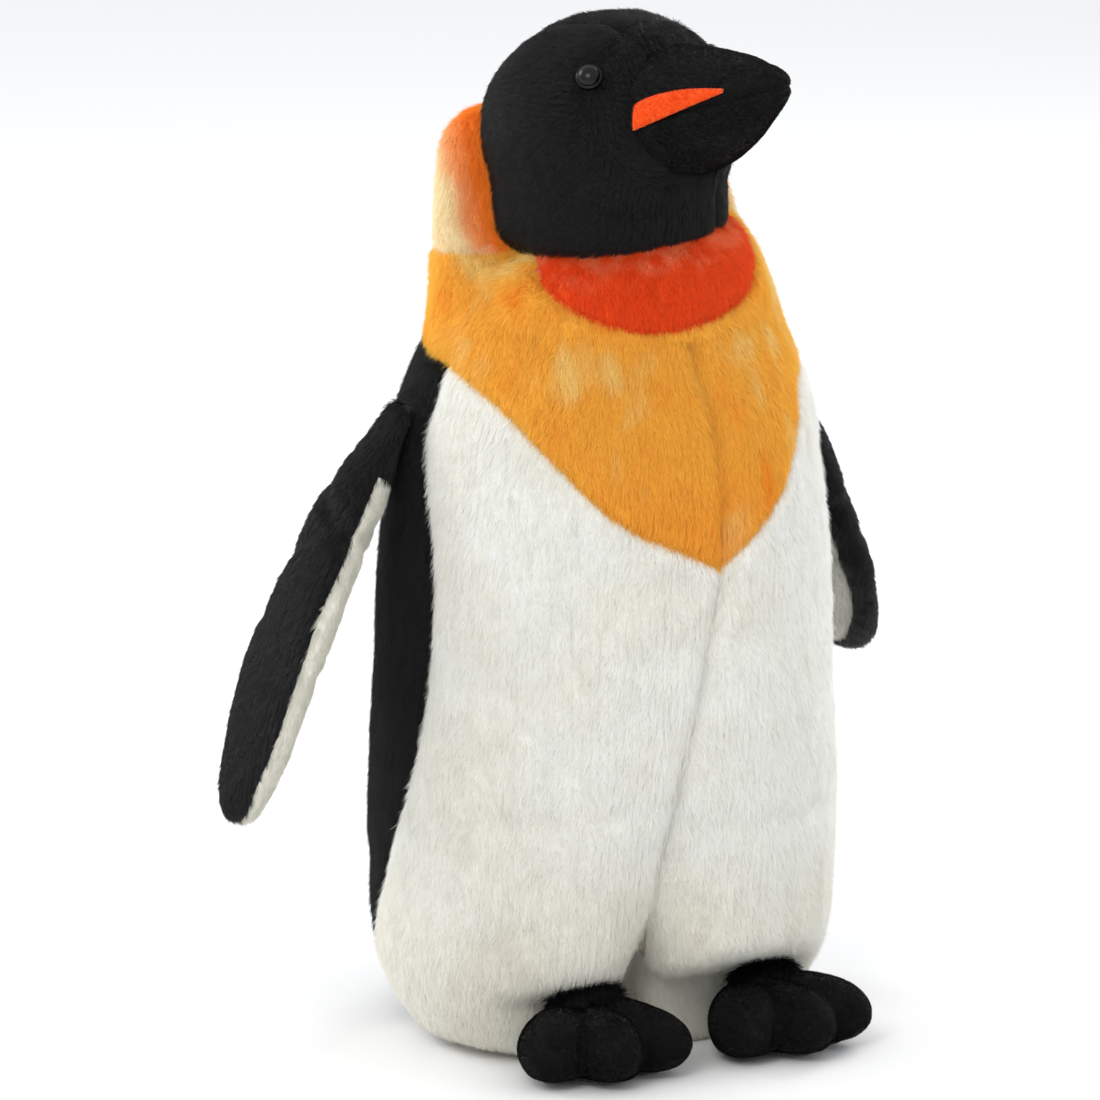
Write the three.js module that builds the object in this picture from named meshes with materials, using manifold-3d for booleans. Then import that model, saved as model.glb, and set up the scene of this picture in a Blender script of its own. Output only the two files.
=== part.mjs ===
// Stuffed penguin, about 40 cm tall, sewn from pile-fabric panels over separate cores of stuffing.
// Millimetres, +Z up. The origin is the centre of the flat base, the penguin faces -Y, its left is +X.
// Angles round the body start at the breast (0) and grow towards the penguin's left.
import * as THREE from 'three';
import { mergeVertices } from 'three/addons/utils/BufferGeometryUtils.js';
import Module from 'manifold-3d';

const wasm = await Module();
wasm.setup();

// ---- driving dimensions ----
const GAP = 0.35; // room that each edge leaves to its seam line
const PANEL = 3.5; // thickness of a fabric panel with its pile pressed flat
const CORE_INSET = 6.4; // how far the stuffing stays inside the outer surface

// Trunk: height, half width, half depth of the oval section.
const TRUNK = [
  [0, 84, 73], [20, 87, 75.5], [45, 90.5, 79.5], [90, 91.5, 81.5], [140, 89, 81.5], [190, 86, 80],
  [225, 81.5, 77], [255, 74.5, 69.5], [280, 66.5, 62], [300, 61.5, 59.5], [330, 59, 58], [352, 57, 57],
];
const LEAN = 3; // how far the breast stands forward of the base
const BASE_ROLL = 44; // height over which the sides turn in to the base
const BASE_TURN_IN = 27; // how far they turn in
const BASE_THICK = 2.4;
const BACK_SWELL = 8; // how much further the back stands out, low down
const BACK_SWELL_HEIGHT = 90;
const BACK_SWELL_SPREAD = 70;
const BASE_FRONT = -41; // straight front edge of the base, behind the feet
const HEM = 2.8; // lowest edge of the side panels
const PELLET_TOP = 26; // height of the pellet bag
const LEG_GROOVE = 20; // depth of the hollow between the legs
const LEG_GROOVE_TOP = 150;
const LEG_GROOVE_HALF_ANGLE = 15;

// Collar: the neck edge stands low at the throat and high at the nape.
const RIM_FRONT = 307;
const RIM_RISE = 45;
const RIM_RISE_FROM = 92; // angles between which it rises
const RIM_RISE_TO = 122;
const RIM_ROLL_FRONT = 30; // height over which the collar closes in to the neck
const RIM_ROLL_BACK = 14;
const COLLAR_SWELL = 6; // how much thicker the collar is at the sides and the nape
const RIM_WALL = 4.2;

// Seams round the body, in degrees and heights.
const BIB_TIP = 196;
const BIB_RISE = 70;
const WHITE_HALF_ANGLE = 77;
const WHITE_SPREAD = 63;
const BIB_END = 150;
const BIB_END_HEIGHT = 281;
const THROAT_HALF_ANGLE = 50;
const THROAT_LOW = 279;
const PATCH_START = 94;
const PATCH_LOW = 304;

// Head: a ball in the collar, with a fuller jaw.
const HEAD_CENTRE = new THREE.Vector3(0, -5, 345);
const HEAD_TURN = 17;
const CROWN_R = 47;
const HEAD_R = 49;
const JAW_R = 58;
const HEAD_SKIN_LOW = -46; // lower edge of the head cover, below the head's centre
const GUSSET_HALF = 14;
const NOD_ROOM = 8; // degrees of nod that the collar leaves room for
const SEAT_R = 64.5; // hollow of the trunk under the neck stuffing

// Beak sections: distance in front of the head's centre, height, half width, half height.
const BEAK = [
  [28, 12, 29.5, 25.5], [38, 12.5, 29.5, 26], [50, 14.5, 25.5, 24.5], [60, 16.8, 22, 21.8], [69, 20, 18.3, 17.8],
  [76, 22.8, 14, 13.4], [83, 25.8, 10, 9.4], [87, 27.2, 6.8, 6.2], [89.5, 28, 3.3, 3.3],
];
const BEAK_SEAM = [[28, 8], [89.5, 28]];
const STRIPE_FROM = 40;
const STRIPE_TO = 72;

// Eyes: snapped through the fabric with a washer behind.
const EYE_SIDE = 57;
const EYE_DOWN = 55; // degrees from the crown
const EYE_R = 5;
const SHANK_R = 1.5;
const SHANK_LENGTH = 10;
const WASHER_R = 6;
const WASHER_THICK = 1.4;

// Flippers.
const FLIPPER_LENGTH = 171;
const FLIPPER_HINGE = 4.5;
const RIGHT_FLIPPER = { shoulder: [82, 8, 245], out: 26, back: 0, twist: -12, bow: 6 };
const LEFT_FLIPPER = { shoulder: [81, 16, 247.5], out: 26, back: 30, twist: 12, bow: 2 };

// Feet, in their own frame: origin under the hinge, toes towards -Y.
const FOOT = new THREE.Vector3(37, -51, 0);
const FOOT_SPLAY = 6;
const SOLE_THICK = 2.4;
const TOES = [-42, 0, 42];
const TOE_REACH = [19.5, 19, 19.5];
const TOE_HALF = [15, 28, 15.5];
const TOE_HEIGHT = 13;
const INSTEP_HALF = [25, 16, 15];
const LEG_GAP_HALF = 13; // gap between the legs, above the base
const LEG_GAP_BACK = -22;
const CEILING = 32.5; // the trunk's underside above the feet
const CEILING_SLOPE = 28;

// ---- small helpers ----
const rad = THREE.MathUtils.degToRad;
const { lerp, smoothstep, clamp } = THREE.MathUtils;
const vec = (x, y, z) => new THREE.Vector3(x, y, z);

function interpolant(table) {
  const width = table[0].length - 1;
  const track = new THREE.CubicInterpolant(table.map((row) => row[0]), table.flatMap((row) => row.slice(1)), width);
  return (at) => [...track.evaluate(clamp(at, table[0][0], table.at(-1)[0]))];
}

function signedVolume(points, faces) {
  let sum = 0;
  for (const [a, b, c] of faces) sum += points[a].dot(points[b].clone().cross(points[c]));
  return sum / 6;
}

// A closed mesh from points and triangles, turned so that its faces point out.
function closedMesh(points, faces) {
  const flip = signedVolume(points, faces) < 0;
  const geometry = new THREE.BufferGeometry().setFromPoints(points);
  geometry.setIndex(faces.flatMap(([a, b, c]) => (flip ? [a, c, b] : [a, b, c])));
  return geometry;
}

// A curved sheet with thickness: place(u, v, layer) gives the outer (0) and the inner (1) surface.
function slab(columns, rows, place) {
  const points = [];
  const faces = [];
  const at = (layer, i, j) => (layer * (columns + 1) + i) * (rows + 1) + j;
  const quad = (a, b, c, d) => faces.push([a, b, c], [a, c, d]);
  for (let layer = 0; layer < 2; layer++) {
    for (let i = 0; i <= columns; i++) {
      for (let j = 0; j <= rows; j++) points.push(place(i / columns, j / rows, layer));
    }
  }
  for (let i = 0; i < columns; i++) {
    for (let j = 0; j < rows; j++) {
      quad(at(0, i, j), at(0, i + 1, j), at(0, i + 1, j + 1), at(0, i, j + 1));
      quad(at(1, i, j), at(1, i, j + 1), at(1, i + 1, j + 1), at(1, i + 1, j));
    }
    quad(at(1, i, 0), at(1, i + 1, 0), at(0, i + 1, 0), at(0, i, 0));
    quad(at(0, i, rows), at(0, i + 1, rows), at(1, i + 1, rows), at(1, i, rows));
  }
  for (let j = 0; j < rows; j++) {
    quad(at(0, 0, j), at(0, 0, j + 1), at(1, 0, j + 1), at(1, 0, j));
    quad(at(1, columns, j), at(1, columns, j + 1), at(0, columns, j + 1), at(0, columns, j));
  }
  return closedMesh(points, faces);
}

// A solid skinned over rings of equal count, with a flat fan on each end.
function loft(rings) {
  const count = rings[0].length;
  const points = rings.flat();
  const faces = [];
  for (let r = 0; r < rings.length - 1; r++) {
    for (let k = 0; k < count; k++) {
      const next = (k + 1) % count;
      const [a, b, c, d] = [r * count + k, r * count + next, (r + 1) * count + next, (r + 1) * count + k];
      faces.push([a, b, c], [a, c, d]);
    }
  }
  for (const [ring, start, turn] of [[rings[0], 0, true], [rings.at(-1), (rings.length - 1) * count, false]]) {
    const centre = points.length;
    points.push(ring.reduce((sum, p) => sum.add(p), vec(0, 0, 0)).divideScalar(count));
    for (let k = 0; k < count; k++) {
      const next = (k + 1) % count;
      faces.push(turn ? [start + next, start + k, centre] : [start + k, start + next, centre]);
    }
  }
  return closedMesh(points, faces);
}

const around = (count, make) => Array.from({ length: count }, (_, k) => make((360 * k) / count));
const eased = (t) => (1 - Math.cos(Math.PI * t)) / 2;
const steps = (count, make) => Array.from({ length: count + 1 }, (_, k) => make(k / count));

// ---- cutting and joining ----
function toManifold(geometry) {
  const bare = geometry.clone();
  for (const name of ['normal', 'uv']) bare.deleteAttribute(name);
  const merged = mergeVertices(bare, 1e-4);
  return new wasm.Manifold(new wasm.Mesh({
    numProp: 3,
    vertProperties: new Float32Array(merged.attributes.position.array),
    triVerts: new Uint32Array(merged.index.array),
  }));
}

function fromManifold(solid) {
  const mesh = solid.getMesh();
  const geometry = new THREE.BufferGeometry();
  geometry.setAttribute('position', new THREE.BufferAttribute(new Float32Array(mesh.vertProperties), 3));
  geometry.setIndex(new THREE.BufferAttribute(new Uint32Array(mesh.triVerts), 1));
  return geometry;
}

const combine = (how) => (first, ...others) =>
  fromManifold(others.reduce((solid, other) => solid[how](toManifold(other)), toManifold(first)));
const cut = combine('subtract');
const join = combine('add');
const common = combine('intersect');

function block(low, high) {
  const size = high.clone().sub(low);
  return new THREE.BoxGeometry(size.x, size.y, size.z).translate(...low.clone().addScaledVector(size, 0.5));
}

function ellipsoid(centre, half, grow, segments) {
  return new THREE.SphereGeometry(1, segments, Math.round(segments * 0.6))
    .scale(...half.map((h) => h + grow))
    .translate(...centre);
}

// A turned piece: the profile lists radius and height, and closes on the axis.
function turned(profile, segments) {
  return new THREE.LatheGeometry(profile.map(([r, z]) => new THREE.Vector2(r, z)), segments).rotateX(Math.PI / 2);
}

// ---- trunk surface ----
const trunkSection = interpolant(TRUNK);
const rimHeight = (angle) => RIM_FRONT + RIM_RISE * smoothstep(Math.abs(angle), RIM_RISE_FROM, RIM_RISE_TO);
const bibLow = (angle) => {
  const side = Math.min(Math.abs(angle), 100);
  const behind = Math.max(Math.abs(angle) - 100, 0) / (BIB_END - 100);
  const flank = BIB_TIP + BIB_RISE * Math.sin(rad(0.9 * side));
  return lerp(flank, BIB_END_HEIGHT, behind * behind);
};
const throatLow = (angle) => THROAT_LOW + (RIM_FRONT - THROAT_LOW) * (angle / THROAT_HALF_ANGLE) ** 2;
const bibTop = (angle) => {
  if (Math.abs(angle) < THROAT_HALF_ANGLE) return throatLow(angle);
  return lerp(rimHeight(angle), PATCH_LOW, smoothstep(Math.abs(angle), 80, PATCH_START));
};
const whiteEdge = (z) => WHITE_HALF_ANGLE + WHITE_SPREAD * (Math.max(150 - z, 0) / 150) ** 2;

function headRadius(down) {
  return lerp(lerp(CROWN_R, HEAD_R, smoothstep(down, 30, 75)), JAW_R, smoothstep(down, 108, 132));
}

// Radius of the hollow that the head sits in, by height.
function seatRadius(z) {
  const drop = z - HEAD_CENTRE.z;
  const down = THREE.MathUtils.radToDeg(Math.atan2(50, drop));
  const reach = headRadius(down + NOD_ROOM) + 0.8;
  return Math.sqrt(Math.max(reach * reach - drop * drop, 0));
}

function trunk(angle, z, inset) {
  let [a, b] = trunkSection(z);
  const low = clamp(1 - z / BASE_ROLL, 0, 1);
  const baseTurn = BASE_TURN_IN * (1 - Math.sqrt(1 - low * low));
  const signed = ((angle + 540) % 360) - 180;
  const collar = COLLAR_SWELL * smoothstep(Math.abs(signed), 82, 108) * smoothstep(z, 268, 300);
  a += collar - baseTurn;
  b += collar - baseTurn;
  const rim = rimHeight(angle);
  const rollHeight = lerp(RIM_ROLL_FRONT, RIM_ROLL_BACK, smoothstep(Math.abs(signed), 70, 110));
  const high = clamp(1 - (rim - z) / rollHeight, 0, 1);
  const roll = 1 - Math.sqrt(1 - high * high);
  const edge = seatRadius(rim) + RIM_WALL;
  a = lerp(a, edge, roll);
  b = lerp(b, edge, roll);
  const groove = Math.exp(-((signed / LEG_GROOVE_HALF_ANGLE) ** 2)) * (1 - smoothstep(z, 20, LEG_GROOVE_TOP));
  const extra = inset > PANEL ? 4 * groove + 5 * roll : 0;
  const depth = inset + extra + LEG_GROOVE * groove;
  const forward = lerp(-LEAN * smoothstep(z, 60, 150), HEAD_CENTRE.y, smoothstep(z, 270, 300));
  const ahead = Math.cos(rad(angle));
  const swell = BACK_SWELL * Math.exp(-(((z - BACK_SWELL_HEIGHT) / BACK_SWELL_SPREAD) ** 2)) * Math.max(-ahead, 0);
  return vec((a - depth) * Math.sin(rad(angle)), forward - (b + swell - depth) * ahead, z);
}

// A panel between two angles and two heights, with its edges drawn back from the seams.
function trunkPanel(columns, rows, angleAt, lowAt, highAt) {
  return slab(columns, rows, (u, v, layer) => {
    const edge = (t) => (t === 0 ? 1 : 0) - (t === 1 ? 1 : 0);
    const topAngle = angleAt(u, highAt(angleAt(u, 352)));
    const low = lowAt(topAngle);
    const high = highAt(topAngle);
    const z = lerp(low + GAP, high - GAP, eased(v));
    const way = Math.sign(angleAt(1, z) - angleAt(0, z));
    const angle = angleAt(u, z) + way * edge(u) * 0.33;
    return trunk(angle, z, layer * PANEL);
  });
}

const between = (from, to) => (u) => lerp(from, to, u);
const constant = (value) => () => value;

// Room that the feet need under the front of the trunk.
function footRoom() {
  const flat = block(vec(-120, -140, -5), vec(120, BASE_FRONT, CEILING));
  const wedge = new THREE.BoxGeometry(240, 120, 60)
    .translate(0, -60, -30)
    .rotateX(rad(-CEILING_SLOPE))
    .translate(0, FOOT.y + 2, CEILING);
  const gap = block(vec(-LEG_GAP_HALF, -60, -5), vec(LEG_GAP_HALF, LEG_GAP_BACK, CEILING - 1));
  return join(flat, wedge, gap);
}

function trunkRings(low, highAt, inset, levels) {
  return steps(levels, (v) => around(28, (angle) => {
    const signed = ((angle + 180) % 360) - 180;
    return trunk(signed, lerp(low, highAt(signed), eased(v)), inset);
  }));
}

// The space that the head and the neck stuffing turn in.
function seat() {
  const profile = [[0, HEAD_CENTRE.z - SEAT_R]];
  for (let down = 172; down >= 140; down -= 8) {
    profile.push([SEAT_R * Math.sin(rad(down)), HEAD_CENTRE.z + SEAT_R * Math.cos(rad(down))]);
  }
  for (let down = 138; down >= 90; down -= 6) {
    const reach = headRadius(down + NOD_ROOM) + 0.8;
    profile.push([reach * Math.sin(rad(down)), HEAD_CENTRE.z + reach * Math.cos(rad(down))]);
  }
  profile.push([HEAD_R + 0.8, HEAD_CENTRE.z + 60], [0, HEAD_CENTRE.z + 60]);
  return turned(profile, 28).translate(0, HEAD_CENTRE.y, 0);
}

// ---- head ----
// Point on the head, in its own frame: side is the angle from straight ahead, down is from the crown.
function headPoint(side, down, inset) {
  const ahead = Math.cos(rad(side));
  const brow = 6 * Math.max(ahead, 0) * Math.exp(-(((down - 38) / 30) ** 2));
  const reach = headRadius(down) + brow - inset;
  return vec(
    reach * Math.sin(rad(down)) * Math.sin(rad(side)),
    -reach * Math.sin(rad(down)) * ahead,
    reach * Math.cos(rad(down)),
  );
}

function headSolid(inset) {
  return loft(steps(12, (v) => around(22, (side) => headPoint(side, lerp(3, 177, v), inset))));
}

const beakSection = interpolant(BEAK);
function beakPoint(ahead, turn, inset) {
  const [height, wide, tall] = beakSection(ahead);
  const c = Math.cos(rad(turn));
  const s = Math.sin(rad(turn));
  return vec(Math.max(wide - inset, 0.6) * c, -ahead, height + Math.max(tall - inset, 0.6) * s);
}

function beakSolid(inset) {
  const far = BEAK.at(-1)[0] - Math.max(inset, 0) * 1.4;
  const rings = steps(8, (v) => around(16, (turn) => beakPoint(lerp(BEAK[0][0], far, v ** 0.85), turn, inset)));
  return loft(rings);
}

// Half of space on one side of the beak's side seam.
function beakHalf(side) {
  const [[fromAhead, fromHeight], [toAhead, toHeight]] = BEAK_SEAM;
  const slope = Math.atan2(toHeight - fromHeight, toAhead - fromAhead);
  return new THREE.BoxGeometry(120, 200, 100)
    .translate(0, 0, side * (50 + GAP))
    .rotateX(-slope)
    .translate(0, -fromAhead, fromHeight);
}

function stripe(side) {
  return slab(10, 3, (u, v, layer) => {
    const ahead = lerp(STRIPE_FROM, STRIPE_TO, u);
    const low = lerp(9.5, 25.6, u);
    const high = lerp(22.5, 27, Math.sin(rad(90 * u)) ** 0.7);
    const z = lerp(low, high, v);
    const [height, wide, tall] = beakSection(ahead);
    const across = wide * Math.sqrt(1 - ((z - height) / tall) ** 2);
    return vec(side * (across + (layer ? 0.6 : 2)), -ahead, z);
  });
}

// ---- eyes: along +Z, the fabric's surface at zero ----
function eyeSolid() {
  const dome = steps(5, (v) => [EYE_R * Math.sin(rad(90 * v)), 0.7 + 3.3 * Math.cos(rad(90 * v))]);
  dome[0][0] = 0;
  const profile = [...dome, [EYE_R, 0], [SHANK_R, 0], [SHANK_R, -SHANK_LENGTH], [0, -SHANK_LENGTH]];
  return turned(profile.reverse(), 16);
}

function washerSolid() {
  const inner = SHANK_R + 0.3;
  const top = -PANEL - 0.5;
  const low = top - WASHER_THICK;
  return turned([[inner, low], [WASHER_R, low], [WASHER_R, top], [inner, top], [inner, low]], 16);
}

function eyeRoom() {
  const profile = [[0, -SHANK_LENGTH - 1], [2.2, -SHANK_LENGTH - 1], [2.2, -6.6], [7, -6.6], [7, -3.8],
    [2.2, -3.8], [2.2, 3], [0, 3]];
  return turned(profile, 10);
}

// ---- flippers: blade along -Z from the root, outside towards +Y, hinge at the origin ----
function flipperSection(along) {
  const root = clamp(1 - along / FLIPPER_HINGE, 0, 1);
  const end = clamp(1 - (FLIPPER_LENGTH - along) / 8, 0, 1);
  const tip = clamp(1 - (FLIPPER_LENGTH - along) / 75, 0, 1);
  const spread = 16 + 18 * smoothstep(along, 0, 105);
  const wide = spread * Math.sqrt(Math.max(1 - tip ** 2.4, 0.02));
  const plump = lerp(lerp(4, 12.5, smoothstep(along, 0, 50)), 8.5, smoothstep(along, 80, FLIPPER_LENGTH));
  return [wide, plump * Math.sqrt(1 - root * root) * Math.sqrt(1 - end * end)];
}

function flipperPoint(along, x, y, bow) {
  return vec(x, y + bow * Math.sin((Math.PI * along) / FLIPPER_LENGTH), FLIPPER_HINGE - along);
}

function flipperSkin(side, bow) {
  return slab(8, 11, (u, v, layer) => {
    const along = lerp(1.5 + layer * 2.4, FLIPPER_LENGTH - 1.5 - layer * 2.4, v);
    const [wide, plump] = flipperSection(along);
    const turn = rad(180 * u);
    const thick = Math.max(plump - layer * PANEL, layer ? 0.9 : 2.2);
    const y = side * (0.4 + (thick - 0.4) * Math.sin(turn));
    return flipperPoint(along, (wide - layer * PANEL) * Math.cos(turn), y, bow);
  });
}

function flipperStuffing(bow) {
  return loft(steps(9, (v) => {
    const along = lerp(6, FLIPPER_LENGTH - 7, v);
    const [wide, plump] = flipperSection(along);
    return around(14, (turn) => flipperPoint(
      along,
      (wide - 5.5) * Math.cos(rad(turn)),
      Math.max(plump - 4.8, 0.6) * Math.sin(rad(turn)),
      bow,
    ));
  }));
}

// ---- feet ----
function footLumps(grow, segments) {
  const toes = TOES.map((angle, k) => {
    const reach = TOE_REACH[k];
    const centre = [reach * Math.sin(rad(angle)) * 1.05, 2 - reach * Math.cos(rad(angle)), TOE_HEIGHT];
    return ellipsoid([0, 0, 0], TOE_HALF, grow, segments).rotateZ(rad(angle)).translate(...centre);
  });
  return join(ellipsoid([0, -13, 12], INSTEP_HALF, grow, segments), ...toes);
}

const slice = (low, high) => block(vec(-90, -90, low), vec(90, -GAP, high));

function footUpper() {
  return cut(common(footLumps(0, 12), slice(SOLE_THICK + GAP, 60)), footLumps(-PANEL, 9));
}

function footStuffing() {
  return common(footLumps(-PANEL - 1.6, 8), slice(SOLE_THICK + GAP, 60));
}

// Strip of long pile that hides the seam over the instep.
function ankleCuff() {
  const strip = loft(steps(10, (v) => {
    const lean = rad(lerp(-42, 42, v));
    return around(8, (turn) => {
      const reach = 17.4 + 2 * Math.cos(rad(turn));
      return vec(1.3 * reach * Math.sin(lean), -5 + 3 * Math.sin(rad(turn)), 13 + reach * Math.cos(lean));
    });
  }));
  return cut(strip, footLumps(GAP, 12));
}

// ---- tail ----
function tailSolid(inset) {
  return loft(steps(7, (v) => {
    const wide = lerp(21, 7, v) - inset;
    const thick = Math.max(lerp(10, 5, v) - inset, 0.8);
    return around(14, (turn) => vec(
      wide * Math.cos(rad(turn)),
      lerp(66, 101 - inset, v) + 0.6 * thick * Math.sin(rad(turn)),
      lerp(62, 20 + inset, v ** 0.9) + 0.8 * thick * Math.sin(rad(turn)),
    ));
  }));
}

// ---- assembly ----
const COLOURS = {
  black: [0x101012, 0.95],
  white: [0xe9e8dc, 0.95],
  gold: [0xfab03a, 0.95],
  throat: [0xe8541a, 0.95],
  patch: [0xffa24a, 0.95],
  beak: [0x0c0c0e, 0.9],
  stripe: [0xf0641e, 0.85],
  eye: [0x050505, 0.12],
  plastic: [0xd8d8d4, 0.5],
  stuffing: [0xf4f4f0, 1],
  pellets: [0xd9d4c4, 1],
};

function piece(name, colour, geometry) {
  const [hex, roughness] = COLOURS[colour];
  const ready = geometry.index ? geometry.clone() : mergeVertices(geometry);
  ready.computeVertexNormals();
  const mesh = new THREE.Mesh(ready, new THREE.MeshStandardMaterial({ color: hex, roughness, metalness: 0 }));
  mesh.name = name;
  return mesh;
}

function makeTrunk() {
  const group = new THREE.Group();
  const room = footRoom();
  for (const [word, side] of [['left', 1], ['right', -1]]) {
    const whiteAngle = (u, z) => side * u * whiteEdge(z);
    const blackAngle = (u, z) => side * lerp(180, whiteEdge(z), u);
    const blackTop = (angle) => (Math.abs(angle) < BIB_END ? bibLow(angle) : BIB_END_HEIGHT);
    const belly = trunkPanel(9, 11, whiteAngle, constant(HEM), bibLow);
    group.add(piece(`belly_panel_${word}`, 'white', cut(belly, room)));
    group.add(piece(`back_panel_${word}`, 'black', trunkPanel(9, 11, blackAngle, constant(HEM), blackTop)));
    const bib = trunkPanel(14, 6, between(0, side * BIB_END), bibLow, bibTop);
    group.add(piece(`bib_panel_${word}`, 'gold', bib));
    const patch = trunkPanel(8, 5, between(side * PATCH_START, side * BIB_END), constant(PATCH_LOW), rimHeight);
    group.add(piece(`neck_patch_${word}`, 'patch', patch));
  }
  const throat = between(-THROAT_HALF_ANGLE + 3, THROAT_HALF_ANGLE - 3);
  group.add(piece('throat_patch', 'throat', trunkPanel(12, 5, throat, throatLow, rimHeight)));
  const nape = trunkPanel(6, 6, between(BIB_END, 360 - BIB_END), constant(BIB_END_HEIGHT), rimHeight);
  group.add(piece('nape_panel', 'black', nape));

  const coreTop = (angle) => Math.min(rimHeight(angle) - 7, 320);
  const core = loft(trunkRings(PELLET_TOP + 1, coreTop, CORE_INSET, 13));
  group.add(piece('torso_stuffing', 'stuffing', cut(core, seat(), room)));
  const pellets = loft(trunkRings(BASE_THICK + 0.5, constant(PELLET_TOP), CORE_INSET, 5));
  group.add(piece('pellet_bag', 'pellets', cut(pellets, room)));
  const base = loft([0, BASE_THICK].map((z) => around(32, (angle) => trunk(angle, 0, 0).setZ(z))));
  group.add(piece('base_panel', 'white', cut(base, room)));

  const body = loft(trunkRings(0, coreTop, -1.2, 12));
  const tailCover = cut(tailSolid(0), tailSolid(3), body);
  group.add(piece('tail_cover', 'black', tailCover));
  group.add(piece('tail_stuffing', 'stuffing', cut(tailSolid(3.8), body)));
  return group;
}

function neckStuffing() {
  const profile = [];
  for (let down = 180; down >= 144; down -= 6) {
    const r = SEAT_R - 0.6;
    profile.push([r * Math.sin(rad(down)), r * Math.cos(rad(down))]);
  }
  for (let down = 144; down <= 180; down += 6) {
    const r = JAW_R + 0.6;
    profile.push([r * Math.sin(rad(down)), r * Math.cos(rad(down))]);
  }
  profile[0][0] = 0;
  profile.at(-1)[0] = 0;
  const mesh = piece('neck_stuffing', 'stuffing', turned(profile, 20));
  mesh.position.copy(HEAD_CENTRE);
  return mesh;
}

function makeHead() {
  const group = new THREE.Group();
  group.position.copy(HEAD_CENTRE);
  group.rotation.z = rad(HEAD_TURN);
  const below = block(vec(-90, -90, -90), vec(90, 90, HEAD_SKIN_LOW));
  const shell = cut(headSolid(0), headSolid(PANEL), beakSolid(-GAP), below);
  const band = block(vec(-GUSSET_HALF, -90, -90), vec(GUSSET_HALF, 90, 90));
  const chinSpace = block(vec(-90, -90, -90), vec(90, -10, 15));
  const eyeTurns = {};
  for (const [word, side] of [['left', 1], ['right', -1]]) {
    const ahead = headPoint(side * EYE_SIDE, EYE_DOWN, 0);
    const turn = new THREE.Quaternion().setFromUnitVectors(vec(0, 0, 1), ahead.clone().normalize());
    eyeTurns[word] = new THREE.Matrix4().compose(ahead, turn, vec(1, 1, 1));
    const nearX = side * (GUSSET_HALF + 2 * GAP);
    const half = block(vec(Math.min(nearX, side * 90), -90, -90), vec(Math.max(nearX, side * 90), 90, 90));
    const room = eyeRoom().applyMatrix4(eyeTurns[word]);
    group.add(piece(`head_side_${word}`, 'black', cut(common(shell, half), room)));

    const eye = piece(`eye_${word}`, 'eye', eyeSolid());
    const washer = piece(`eye_washer_${word}`, 'plastic', washerSolid());
    for (const mesh of [eye, washer]) {
      mesh.position.copy(ahead).addScaledVector(ahead.clone().normalize(), mesh === eye ? 0.4 : 0);
      mesh.quaternion.copy(turn);
      group.add(mesh);
    }
    group.add(piece(`beak_stripe_${word}`, 'stripe', stripe(side)));
  }
  group.add(piece('head_gusset', 'black', cut(common(shell, band), chinSpace)));
  group.add(piece('chin_panel', 'black', common(shell, band, chinSpace)));

  const core = headSolid(PANEL + 1);
  const rooms = Object.values(eyeTurns).map((matrix) => eyeRoom().applyMatrix4(matrix));
  group.add(piece('head_stuffing', 'stuffing', cut(core, ...rooms)));
  const beakShell = cut(beakSolid(0), beakSolid(PANEL), headSolid(PANEL));
  group.add(piece('beak_upper', 'beak', common(beakShell, beakHalf(1))));
  group.add(piece('beak_lower', 'beak', common(beakShell, beakHalf(-1))));
  group.add(piece('beak_stuffing', 'stuffing', cut(beakSolid(PANEL + 0.8), headSolid(PANEL))));
  return group;
}

function makeFlipper(word, side, pose) {
  const group = new THREE.Group();
  const [across, behind, up] = pose.shoulder;
  group.position.set(side * across, behind, up);
  group.rotation.set(rad(pose.back), -side * rad(pose.out), -side * Math.PI / 2 + rad(pose.twist));
  group.add(piece(`flipper_outer_${word}`, 'black', flipperSkin(1, pose.bow)));
  group.add(piece(`flipper_lining_${word}`, 'white', flipperSkin(-1, pose.bow)));
  group.add(piece(`flipper_stuffing_${word}`, 'stuffing', flipperStuffing(pose.bow)));
  return group;
}

function makeFoot(word, side) {
  const group = new THREE.Group();
  group.position.set(side * FOOT.x, FOOT.y, 0);
  group.rotation.z = side * rad(FOOT_SPLAY);
  group.add(piece(`foot_upper_${word}`, 'black', footUpper()));
  group.add(piece(`foot_sole_${word}`, 'black', common(footLumps(0, 12), slice(0, SOLE_THICK))));
  group.add(piece(`foot_stuffing_${word}`, 'stuffing', footStuffing()));
  group.add(piece(`ankle_cuff_${word}`, 'black', ankleCuff()));
  return group;
}

const penguin = new THREE.Group();
penguin.add(makeTrunk(), neckStuffing(), makeHead());
penguin.add(makeFlipper('left', 1, LEFT_FLIPPER), makeFlipper('right', -1, RIGHT_FLIPPER));
penguin.add(makeFoot('left', 1), makeFoot('right', -1));

export default penguin;
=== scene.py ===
"""Plush penguin, about 40 cm tall: pile-fabric panels cut from simulated skins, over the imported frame.

Shapes are worked out in millimetres and turned into metres when a mesh is made. Angles round the
trunk start at the breast (0) and grow towards the penguin's left (+X); the penguin faces -Y.
"""
import math

import bmesh
import bpy
import numpy as np
from mathutils import Matrix, Vector


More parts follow.
